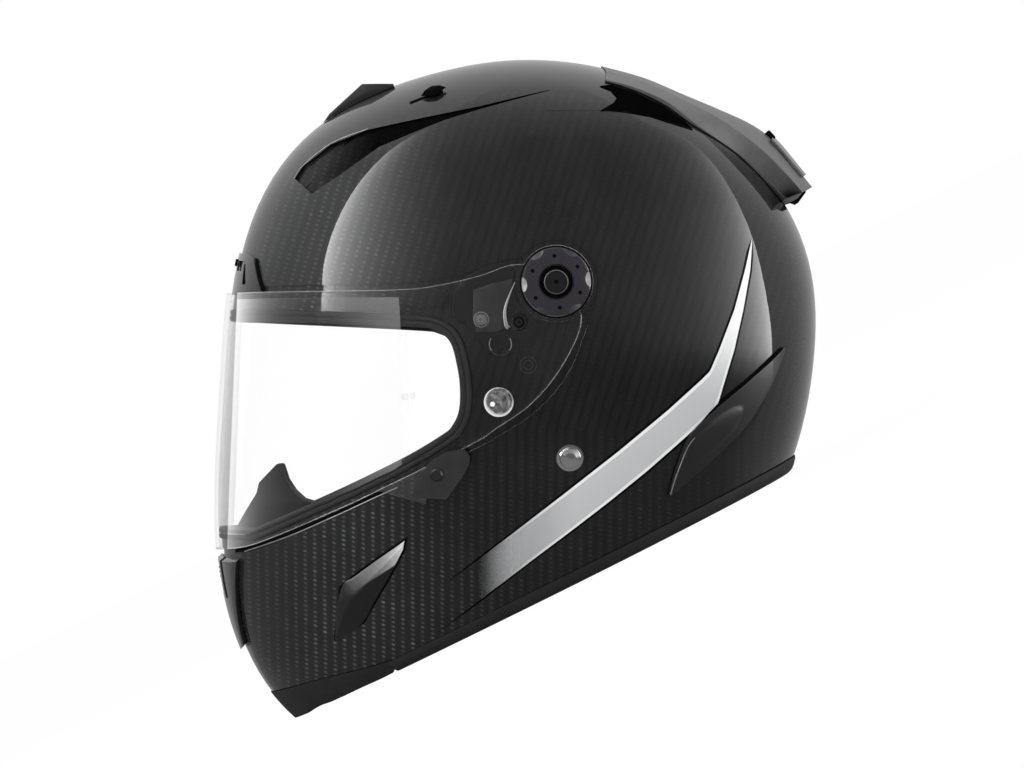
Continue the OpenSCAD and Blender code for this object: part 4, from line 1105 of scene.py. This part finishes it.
def across_spoiler(row, n=9):
    """Points of a spoiler row from its right edge over the middle to its left edge."""
    middle, crease, edge = row
    wall = np.linspace(crease, edge, n)[1:]
    return np.concatenate([(wall*FLIP)[::-1], bend([crease*FLIP, middle, crease], n), wall])


upper = np.array([across_spoiler(r) for r in rows])
spoiler = solid(grid_solid(upper, lifted(upper, -9.0)*[0.9, 1, 1]))
outlet = prism([[109, 38], [110.5, 41], [114, 46.5], [119.5, 48.5], [126, 44.2], [118, 32]], -20, 20)
carve(spoiler, skin_solid(SEAT), outlet)
piece(rounded(spoiler, 0.5, 2, 25), "spoiler", SPOILER, replaces=("rear_spoiler",), angle=45)

lip_rows = rows[int(4.9*ROW_STEPS):int(6.4*ROW_STEPS) + 1]
strip = np.array([resample(bend([crease*FLIP, middle, crease], 9), 41)[11:30] for middle, crease, _ in lip_rows])
lip = solid(grid_solid(lifted(strip, 1.7), lifted(strip, 0.4)))
piece(rounded(lip, 0.4), "clear_lip", SMOKED, replaces=("spoiler_lip",))
foot = solid(block((-2.6, -8, 11), (2.6, 8, 16.4), at_middle(33.8)))
piece(rounded(foot, 0.8, 3), "lip_foot", BLACK_AND_SHADE, angle=30)

scoop = prism([[-113, 79], [-110, 83.5], [-93.8, 98], [-78.6, 98], [-77, 94], [-90, 60]], -24, 24)
plan = [[-15, -120], [15, -120], [24, -86], [24, -70], [-24, -70], [-24, -86]]
within(scoop, solid(ring_solid([[[x, y, z] for x, y in plan] for z in (0, 200)])))
mouth = [[-113, 76], [-111, 79.5], [-95.5, 94.5], [-84, 95.5], [-80, 92], [-90, 60]]
carve(scoop, skin_solid(SEAT), prism(mouth, -12, 12))
piece(rounded(scoop, 0.6), "scoop", GLOSS, replaces=("crown_scoop",), angle=30)

# --- Stripe: a silver band with a white border, painted on each side

STRIPE_TOP = as_seen([[-51.2, -144.5], [-18.4, -119.6], [7.1, -100], [32.1, -80.4], [55.6, -60.8], [71.8, -46.1],
                      [76.2, -41.6], [80.6, -31.4], [88, -11.8], [93.3, 7.8], [96.5, 22.5]])
STRIPE_LOW = as_seen([[-58, -170], [-36.5, -153.9], [-11, -134.3], [8.6, -119.6], [27.7, -104.9], [45.8, -90.2],
                      [62.5, -75.5], [78.6, -60.8], [80.6, -55.9], [83.5, -46.1], [88, -31.4], [92.4, -11.8],
                      [95.8, 7.8], [96.8, 22.5]])
stripe_top, stripe_low = (resample(p, 161) for p in (STRIPE_TOP, STRIPE_LOW))
stripe_w = np.linalg.norm(stripe_low - stripe_top, axis=1)


def inset(d):
    """The stripe's two edges, d millimetres inside it, or outside where d is negative."""
    f = np.minimum(d/np.maximum(stripe_w, 1.5), 0.5)[:, None]
    return stripe_top + (stripe_low - stripe_top)*f, stripe_low + (stripe_top - stripe_low)*f


(top, low), (far_top, far_low) = inset(0.1), inset(-1.2)
for name, t, l, off, material in (("stripe_line_upper", far_top, top, 0.08, STRIPE_BLACK),
                                  ("stripe_line_lower", low, far_low, 0.08, STRIPE_BLACK),
                                  ("stripe_border", *inset(0), 0.14, STRIPE_WHITE),
                                  ("stripe_fill", *inset(1.5), 0.2, STRIPE_SILVER)):
    for end, obj in left_and_right(panel(on_skin(t, -180), on_skin(l, -180), off - 0.05, off, 160, 10)):
        piece(obj, f"{name}_{end}", material, angle=40)

# --- Foam and lining

# Distances from the shell's face
FOAM_HI = -WALL - 1.3
FOAM_LO = FOAM_HI - 29
LINING_HI = FOAM_LO - 0.9
CHEEK_HI = -WALL - 5.9


def level_row(a, t0, t1, n):
    """Row across the head at angle a."""
    return np.array([[a, t] for t in np.linspace(t0, t1, n)])


row = level_row(-36.0, 8, 172, 83)
liner = solid(panel(row, row + [220, 0], FOAM_LO, FOAM_HI, 82, 110))
carve(liner, pair(cylinder(19.5, -14, 16, at_pivot())),
      pair(block((-10.5, -5, -14), (10.5, 5, 16), at_side(*SLIDER, SLIDER_WAY))))
piece(liner, "skull_foam", FOAM, replaces=("impact_liner",))

top = over_middle([[-69, -95.5], [-80, -100.5], [-105, -113.5], [-140, -127.5]], 218.2, 10)
low = over_middle([[-72, -170.5], [-84, -176], [-105, -182.5], [-130, -190]], 233.4, 10)
chin_foam = rounded(solid(panel(top, low, FOAM_HI - 20, FOAM_HI, 100, 30)), 1.5, 3)
piece(chin_foam, "chin_foam", FOAM, replaces=("chin_bar_foam",))


def pillow(u, v):
    """0 along a cushion's edges, 1 in its middle."""
    return np.clip(sind(180*u)*sind(180*v), 0, None)**0.35


def cushion(obj, ease, name, material, node):
    piece(rounded(obj, ease, 3, 50), name, material, replaces=(node,), angle=60)
    return obj


def crown_depth(u, v):
    return LINING_HI - 1.5 - 6.5*pillow(u, v)*(1 - 0.35*np.abs(cosd(180*5*u))**6)


def neck_depth(u, v):
    return LINING_HI - 2.3 - 10*pillow(u, v)


def cheek_depth(u, v):
    return CHEEK_HI - 22 - 30*pillow(u, v)*(1 - 0.1*np.abs(cosd(180*3*u))**6)


row = level_row(-3.0, 32, 152, 121)
cushion(solid(panel(row, row + [176, 0], crown_depth, LINING_HI, 120, 130)), 1.0, "crown_pad", LINING,
        "crown_lining")
row = level_row(-34.0, 38, 142, 105)
cushion(solid(panel(row, row + [29, 0], neck_depth, LINING_HI - SEAT, 104, 30)), 1.0, "neck_cushion", LINING,
        "neck_roll")
top, *between, low = (on_skin(bend(p, 12), 0) for p in (
    [[-33, -24], [-14, -17], [18, -21], [55, -46], [84, -67]],
    [[-35, -66], [-17, -58], [15, -56], [54, -66], [83, -75]],
    [[-40, -112], [-19, -102], [12, -92], [52, -86], [82, -83]],
    [[-44, -156], [-20, -143], [10, -127], [48, -108], [80, -92]]))
for end, obj in left_and_right(panel(top, low, cheek_depth, CHEEK_HI, 60, 60, between)):
    cushion(obj, 2.0, f"cheek_cushion_{end}", PAD_SIDE, f"cheek_pad_{end}")


def ahead(z):
    """Frame far in front of the face whose Z runs to the back."""
    return np.array([[1, 0, 0], [0, 0, 1], [0, 1, 0]]), np.array([0, -200, z])


guard = prism([[-155, -117.6], [-149.2, -108.3], [-144.8, -101], [-143.8, -96], [-136, -87.5], [-134.2, -85.9],
               [-132.6, -87.4], [-130.6, -94.6], [-127.2, -100.2], [-122.7, -104.4], [-117.8, -105.8], [-118, -110],
               [-130, -119], [-146, -124]], -34, 34)
within(guard, solid(cylinder(38, 0, 120, ahead(-122.0), 96)), skin_solid(-7))
carve(guard, solid(cylinder(15, 0, 120, ahead(-84.0))))
piece(rounded(guard, 0.8, 3), "breath_guard", RUBBER, replaces=("nose_guard",))

FLAP_START = TRIM_START - 0.4
top = over_middle([above_floor(FLAP_START, TRIM_H), [-92.5, -182], [-112.8, -188], [-130, -193]], 235, 12)
low = over_middle([above_floor(y, 0.8*COS_P) for y in (FLAP_START, -93, -107, -117)], 238.9, 12)
flap = solid(panel(top, low, -WALL, 0.6, 120, 16))
under_shell = [[y, z - SEAT] for y, z in (above_floor(TRIM_START, TRIM_H), *CHIN_EDGE[::-1])]
carve(flap, prism([[-260, 0], [TRIM_START, 0], *under_shell]))
piece(rounded(flap, 0.5), "chin_flap", RUBBER, replaces=("chin_curtain",))

# --- Straps, in millimetres of the standing helmet

RIVET = (6.5, -82.9)
strap_y, strap_z = stood([0, *RIVET])[1:]*1000
STRAP_W, STRAP_T = 23.0, 1.8
RING_X = 41.0


def strap_path(end_x):
    """Webbing's middle from above the rivet down inside the shell and along the floor to end_x."""
    down = []
    for z in (strap_z + 9, strap_z, strap_z - 9, 37, 28, 20, 14):
        _, wy, wz = worn(np.array([0, strap_y, z])/1000)
        down.append([float(skin_x(wy, wz, -6.3 - 0.03*max(0, strap_z - z))), z])
    x = down[-1][0]
    rows = down + [[x - 1, 10.5], [x - 4, 7], [x - 8, 3.8], [x - 13, 1.7], [x - 20, 1.2], [(x + end_x)/2, 1.2],
                   [end_x, 1.2]]
    return resample(bend(rows, 8), 140)


def strap_shape(end_x):
    p = strap_path(end_x)
    along = unit(np.gradient(p, axis=0))
    face = np.column_stack([-along[:, 1], along[:, 0]])
    w, t = STRAP_W/2, STRAP_T/2
    section = [[-w, -0.5], [-w + 0.5, -t], [w - 0.5, -t], [w, -0.5], [w, 0.5], [w - 0.5, t], [-w + 0.5, t], [-w, 0.5]]
    rings = [[[o[0] + d*f[0], strap_y + y, o[1] + d*f[1]] for y, d in section] for o, f in zip(p, face)]
    return ring_solid(np.array(rings)/1000)


for name, shape, node in (("strap_right", mirrored(*strap_shape(6)), "chin_strap_right"),
                          ("strap_left", strap_shape(RING_X + 3), "chin_strap_left")):
    piece(solid(shape, True), name, WEB, replaces=(node,), angle=50)
a = np.linspace(math.radians(-150), math.radians(150), 40)
loop = []
for y in (-STRAP_W/2, STRAP_W/2):
    outer = [[RING_X + 0.6 + 3.4*math.cos(k), strap_y + y, 4.7 + 4.9*math.sin(k)] for k in a]
    inner = [[RING_X + 0.6 + 1.7*math.cos(k), strap_y + y, 4.7 + 4.0*math.sin(k)] for k in a[::-1]]
    loop.append(outer + inner)
piece(solid(ring_solid(np.array(loop)/1000), True), "strap_loop", WEB, angle=50)

# --- Pivot covers, base plates, visor edge and small clear parts

# The cover's small recesses: their turns and how far they lie from the pivot axis
RECESS_TURNS, RECESS_OUT = (94, 36, -24, -82, -142, 155), 12.3
COVER_R, STUD_R, REST_R = 16.3, 3.7, 5.2
# Side view places of what stands on the base plate, and of the ring below it
STUD, STOP_PIN, REST, LOW_RING = (-35.2, -17.6), (-17.5, -18.8), (-26.3, -29.2), (-13.2, -39)


def turned_ring(profile, where, n=128):
    """Ring of revolution about the frame's Z from a closed [r, z] section."""
    a = -np.arange(n)*2*math.pi/n
    return ring_solid([placed([[r*math.cos(k), r*math.sin(k), z] for r, z in profile], where) for k in a], True)


def ball(r, middle, n=48):
    """Ball about a place, its poles above and below."""
    b = np.radians(np.linspace(-90, 90, n//2 + 1))
    return lathe(np.column_stack([r*np.cos(b), r*np.sin(b)]), (np.eye(3), middle), n)


cover = solid(turned_ring([
    [5.35, 3.6], [COVER_R, 3.6], [COVER_R, 5.6], [COVER_R - 0.4, 6.1], [COVER_R - 0.9, 6.3], [9.4, 6.6], [8.5, 6.55],
    [7.9, 6.1], [7.7, 5.4], [7.6, 4.7], [7.2, 4.5], [5.35, 4.5]], at_pivot()))
nicks = [ball(SCALLOP_R, at_pivot(SCALLOP_OUT, SCALLOP_TURN + 60*k)[1] + [SCALLOP_OFF, 0, 0]) for k in range(6)]
nicks += [cylinder(0.95, 4.9, 9, at_pivot(RECESS_OUT, turn), 24) for turn in RECESS_TURNS]
carve(cover, *(solid(shape) for shape in nicks))
far = link("far", cover.data.copy())
far.data.transform(Matrix.Diagonal((-1, 1, 1, 1)))
far.data.flip_normals()
for end, obj in (("left", cover), ("right", far)):
    piece(obj, f"cover_disc_{end}", COVER, replaces=(f"pivot_cover_{end}",), angle=9)

# Painted shade: black fill in the cover's small recesses and a black ring at the bottom of the button's recess
dark = [turned_ring([[5.4, 4.4], [7.7, 4.4], [7.7, 4.75], [5.4, 4.75]], at_pivot())]
dark += [cylinder(0.93, 4.7, 6.45, at_pivot(RECESS_OUT, turn), 24) for turn in RECESS_TURNS]
piece(pair(joined(*dark)), "cover_recess_shadows", BLACK_AND_SHADE, angle=30)
# Painted shadow: a black ring round the foot of each cover
cover_shadow_ring = turned_ring([[16.4, 3.2], [17.1, 3.2], [17.1, 3.6], [16.4, 3.8]], at_pivot())
piece(pair(cover_shadow_ring), "cover_foot_shadows", BLACK_AND_SHADE, angle=30)
collar = turned_ring([[5.15, 4.0], [5.75, 4.0], [5.7, 6.0], [5.4, 6.1], [5.15, 6.0]], at_pivot())
piece(pair(collar), "button_collars", STEEL, angle=40)

PLATE_EDGE = [[-48.4, -5], [-41, 3.6], [-24.4, 9.2], [-17.3, 0.3], [-5.4, -19.2], [-12.5, -30.1], [-21, -31.1],
              [-36.2, -28.6], [-41, -21.6], [-48.4, -15.9]]
mount = film_on_skin(bend(PLATE_EDGE + PLATE_EDGE[:1], 5)[:-1], 0.02, 0.5)
carve(mount, pair(cylinder(20.5, -8, 20, at_pivot())))
piece(rounded(mount, 0.15, 2), "mount_arms", MOUNT, angle=30)
b = np.radians(np.linspace(0, 90, 14))
stud = lathe([[0, 0], [STUD_R, 0], *([STUD_R*math.cos(k), 0.5 + 0.55*math.sin(k)] for k in b)], at_side(*STUD))
piece(pair(stud), "locating_studs", POST_GREY, angle=40)
stud_rings = joined(turned_ring([[3.1, 0.6], [3.75, 0.6], [3.7, 0.95], [3.3, 1.0]], at_side(*STUD)),
                    turned_ring([[1.2, 1], [1.6, 1], [1.6, 1.2], [1.2, 1.2]], at_side(*STUD)))
piece(pair(stud_rings), "stud_rings", STEEL, angle=40)
face = film_on_skin(as_seen([[-39.9, -2], [-31.6, 1], [-20.5, 3.6], [-21.8, -3.9], [-24.7, -11.8], [-24.3, -20.6],
                             [-28.7, -22.5], [-38.5, -22.5], [-39.9, -14.7]]), 0.4, 0.9)
carve(face, pair(cylinder(18.4, -8, 20, at_pivot())))
piece(rounded(face, 0.15, 2), "mount_faces", MOUNT_GREY, angle=30)
# Painted highlight: a tapered steel bead along the mount's curved edge
line("mount_edge_highlight", as_seen([[-18.9, 2.6], [-21.8, -3.9], [-24.3, -11.8], [-23.8, -18.6], [-22.4, -20.6]]),
     (0.2, 1.1), 0.8, STEEL)
# Painted highlights: steel arcs on the left and right of the rest's ring
for k, span in enumerate(((150, 215), (-35, 30))):
    arc = [[REST[0] + REST_R*cosd(t), REST[1] + REST_R*sind(t)] for t in np.linspace(*span, 5)]
    piece(bead(arc, 0.22, 0.4, 24), f"mount_rest_highlight_{k}", STEEL, angle=60)
pin = joined(cylinder(4.1, 0.2, 0.75, at_side(*STOP_PIN), 48),
             turned_ring([[1.5, 0.7], [2.0, 0.7], [2.0, 1.0], [1.5, 1.0]], at_side(*STOP_PIN)))
piece(pair(pin), "stop_pins", BLACK_AND_SHADE, angle=40)
rings = [turned_ring([[r - 0.25, 0], [r + 0.25, 0], [r + 0.2, 0.3], [r - 0.2, 0.3]], at_side(*at, off=off))
         for at, r, off in ((STOP_PIN, 3.3, 0.75), (STOP_PIN, 1.2, 0.75), (REST, REST_R, 0.2), (LOW_RING, 3.8, 0.05),
                            (LOW_RING, 2.2, 0.05))]
piece(pair(joined(*rings)), "moulded_rings", RIM, angle=40)
tab = film_on_skin([[-83.5, -99], [-75.2, -101.5], [-61.5, -105], [-60.5, -96], [-62, -88]], 1.9, 3.0, 0, 200)
piece(rounded(tab, 0.3), "finger_tab", RIM, "visor", angle=30)

# Lit edge of the visor, in runs that keep clear of the pivots
edge = rim(visor_edge, 420, GAP + LENS - 0.3)
for end, flip in (("left", 1), ("right", -1)):
    part = edge[(edge[:, 0]*flip > 0) & (np.hypot(edge[:, 1], edge[:, 2]) > 18.5)]
    runs = np.split(part, np.where(np.linalg.norm(np.diff(part, axis=0), axis=1) > 4)[0] + 1)
    for k, run in enumerate(r for r in runs if len(r) > 8):
        lit = solid(sweep(run, skin_normal(run), 0.25*np.column_stack([np.cos(ROUND), np.sin(ROUND)])))
        piece(lit, f"visor_rim_{end}_{k}", VISOR_LINE, "visor", angle=60)

washer = turned_ring([[5.5, -0.5], [7.0, -0.5], [6.9, 0.35], [5.5, 0.45]], at_side(*RIVET))
piece(pair(washer), "rivet_washers", RUBBER, angle=30)

# --- Pieces that keep their construction shape

KEPT = {
    "antifog_pins": PINS, "visor_lock_flange": PLATE, "lock_flange_button": DARK_STEEL, "tearoff_posts": POST,
    "visor_base_plate_left": CARBON, "visor_base_plate_right": CARBON, "base_plate_screws": DARK_STEEL,
    "release_button_left": BUTTON, "release_button_right": BUTTON, "brow_vent_slider": BLACK_AND_SHADE,
    "crown_vent_slider_left": BLACK_AND_SHADE, "crown_vent_slider_right": BLACK_AND_SHADE, "spoiler_outlet": BLACK_AND_SHADE,
    "strap_rivets": CHROME, "strap_anchors": STEEL, "d_ring_lower": CHROME, "d_ring_upper": CHROME,
    "strap_snap": SATIN}
for name, material in KEPT.items():
    coat(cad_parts[name], material)

# --- Stage, light and camera

camera = bpy.data.cameras.new("camera")
camera.sensor_width = 36
camera.lens = 36*VIEW_D/PX/1024
camera.clip_end = 100
view = link("camera", camera)
right, up = (unit(stood(way) - stood([0, 0, 0])) for way in ([0, 1, 0], [0, 0, 1]))
axes = Matrix((right, up, np.cross(right, up))).transposed()
view.matrix_world = Matrix.Translation(Vector(stood([VIEW_D, *AIM]))) @ axes.to_4x4()
bpy.context.scene.camera = view

for name, place, watts in (("key", (2.0, -1.4, 1.8), 34), ("fill", (2.0, 1.7, 1.2), 22), ("top", (-0.3, 0.1, 2.6), 20),
                           ("far", (-2.0, -0.6, 1.4), 30)):
    light = bpy.data.lights.new(name, "AREA")
    light.shape, light.size, light.size_y, light.energy = "RECTANGLE", 1.6, 1.6, watts
    obj = link(name, light)
    obj.location = place
    obj.rotation_euler = (Vector((0, 0, 0.13)) - Vector(place)).to_track_quat("-Z", "Y").to_euler()
    obj.visible_glossy = False


def mirrored_ray(y, z):
    """Where the camera's ray through a side view point meets the skin, and its mirrored direction."""
    lens_at = np.array([VIEW_D, *AIM])
    x = 80.0
    for _ in range(30):
        at = AIM + (np.array([y, z]) - AIM)*((VIEW_D - x)/VIEW_D)
        x = float(skin_x(*at))
    p = np.array([x, *at])
    n, d = skin_normal(p), unit(p - lens_at)
    return p, d - 2*d.dot(n)*n


# The tent's front and back edges from its foot up, as the shell mirrors them in the side view
TENT_FRONT = [[-112, -85], [-114, -45], [-114, -2.5], [-112, 15.7], [-105.6, 33.8], [-95.8, 50.5], [-81.6, 65.7],
              [-67.9, 74.5]]
TENT_BACK = [[84, -88], [104, -55], [106.6, -31.4], [104.1, -6.9], [96.3, 25.5], [81.6, 54.9], [64.9, 72],
             [47.8, 78.4]]


def near_glow(h, c):
    """Brightest along the front and back edges, dark at the foot."""
    front = np.interp(h, [0, 0.42, 0.6, 0.75, 0.88, 1], [11, 11, 9.6, 6.2, 3.2, 1.4])*np.exp(-c/0.065)
    back = np.interp(h, [0.18, 0.3, 0.46, 0.56, 0.66, 0.8, 1], [0, 8, 7.2, 4.6, 1.8, 0.7, 0.4])*np.exp(-(1 - c)/0.075)
    level = (0.26 + front + back)*np.interp(h, [0, 0.14, 0.29, 0.4, 1], [0, 0.35, 0.9, 1, 1])
    level = np.maximum(level, np.interp(h, [0, 0.12, 0.25], [0.2, 0.12, 0.1]))
    return level + np.interp(h, [0.8, 1], [0, 0.5])*np.sin(math.pi*c)


def far_glow(h, c):
    """Soft and even, dimmer at the foot."""
    return 0.2 + 0.75*np.sin(math.pi*c)**0.7*np.interp(h, [0.25, 0.9], [0.2, 1])


def light_tent(name, way, far_off, glow_of):
    """Curved softbox over one side of the helmet, placed where the shell mirrors it into the side view."""
    front, back = bend(TENT_FRONT, 3), bend(TENT_BACK, 3)
    h = np.linspace(0, 1, len(front))
    rows = [bend([f, (f + b)/2 + [0, w], b], 16) for f, b, w in zip(front, back, 26*h**6)]
    places, rays = zip(*(mirrored_ray(*q) for row in rows for q in row))
    m, n = len(rows), len(rows[0])
    verts = stood((np.array(places) + np.array(rays)*far_off)*[way, 1, 1])
    faces = [[i*n+j, i*n+j+1, (i+1)*n+j+1, (i+1)*n+j] for i in range(m-1) for j in range(n-1)]
    mesh = bpy.data.meshes.new(name)
    mesh.from_pydata(verts.tolist(), [], faces)
    glow = mesh.attributes.new("glow", "FLOAT", "POINT")
    glow.data.foreach_set("value", glow_of(h[:, None], np.linspace(0, 1, n)[None, :]).ravel())
    obj = link(name, mesh)
    obj.visible_camera = obj.visible_transmission = obj.visible_shadow = obj.visible_diffuse = False
    sh = Shader(name)
    level = sh.node("ShaderNodeAttribute", {"attribute_name": "glow"}).outputs["Fac"]
    light = sh.node("ShaderNodeEmission", None, {"Strength": level})
    sh.node("ShaderNodeOutputMaterial", None, {"Surface": light.outputs[0]})
    mesh.materials.append(sh.material)
    return obj


def straight_ray(sh, rays):
    """1 for rays that the camera sees, straight or through clear parts."""
    return Number(sh, rays["Is Camera Ray"]).op("MAXIMUM", rays["Is Transmission Ray"])


floor_mesh = bpy.data.meshes.new("floor")
floor_mesh.from_pydata([(-30, -30, 0), (30, -30, 0), (30, 30, 0), (-30, 30, 0)], [], [(0, 1, 2, 3)])
floor = link("floor", floor_mesh)
floor.visible_glossy = False
light_tent("tent_left", 1, 2400, near_glow)
light_tent("tent_right", -1, 3000, far_glow)
sh = Shader("floor_white")
seen = straight_ray(sh, sh.node("ShaderNodeLightPath").outputs)
diffuse = sh.node("ShaderNodeBsdfDiffuse", None, {"Color": grey(0.8)})
glow = sh.node("ShaderNodeEmission", None, {"Color": grey(1.0), "Strength": 1.0})
both = sh.node("ShaderNodeMixShader", None, [seen*0.985, diffuse.outputs[0], glow.outputs[0]])
sh.node("ShaderNodeOutputMaterial", None, {"Surface": both.outputs[0]})
floor_mesh.materials.append(sh.material)

# The room is white for the camera, dimmer for what it lights and darker for what mirrors it
world = bpy.data.worlds.new("studio")
bpy.context.scene.world = world
sh = Shader("studio", world)
rays = sh.node("ShaderNodeLightPath").outputs
dimmed = sh.node("ShaderNodeMapRange", None, {"Value": rays["Is Glossy Ray"], "To Min": 0.45, "To Max": 0.2})
strength = sh.node("ShaderNodeMapRange", None, {"Value": straight_ray(sh, rays), "To Min": dimmed.outputs[0]})
room = sh.node("ShaderNodeBackground", None, {"Color": grey(1.0), "Strength": strength.outputs[0]})
sh.node("ShaderNodeOutputWorld", None, {"Surface": room.outputs[0]})

bpy.context.scene.view_settings.view_transform = "Standard"
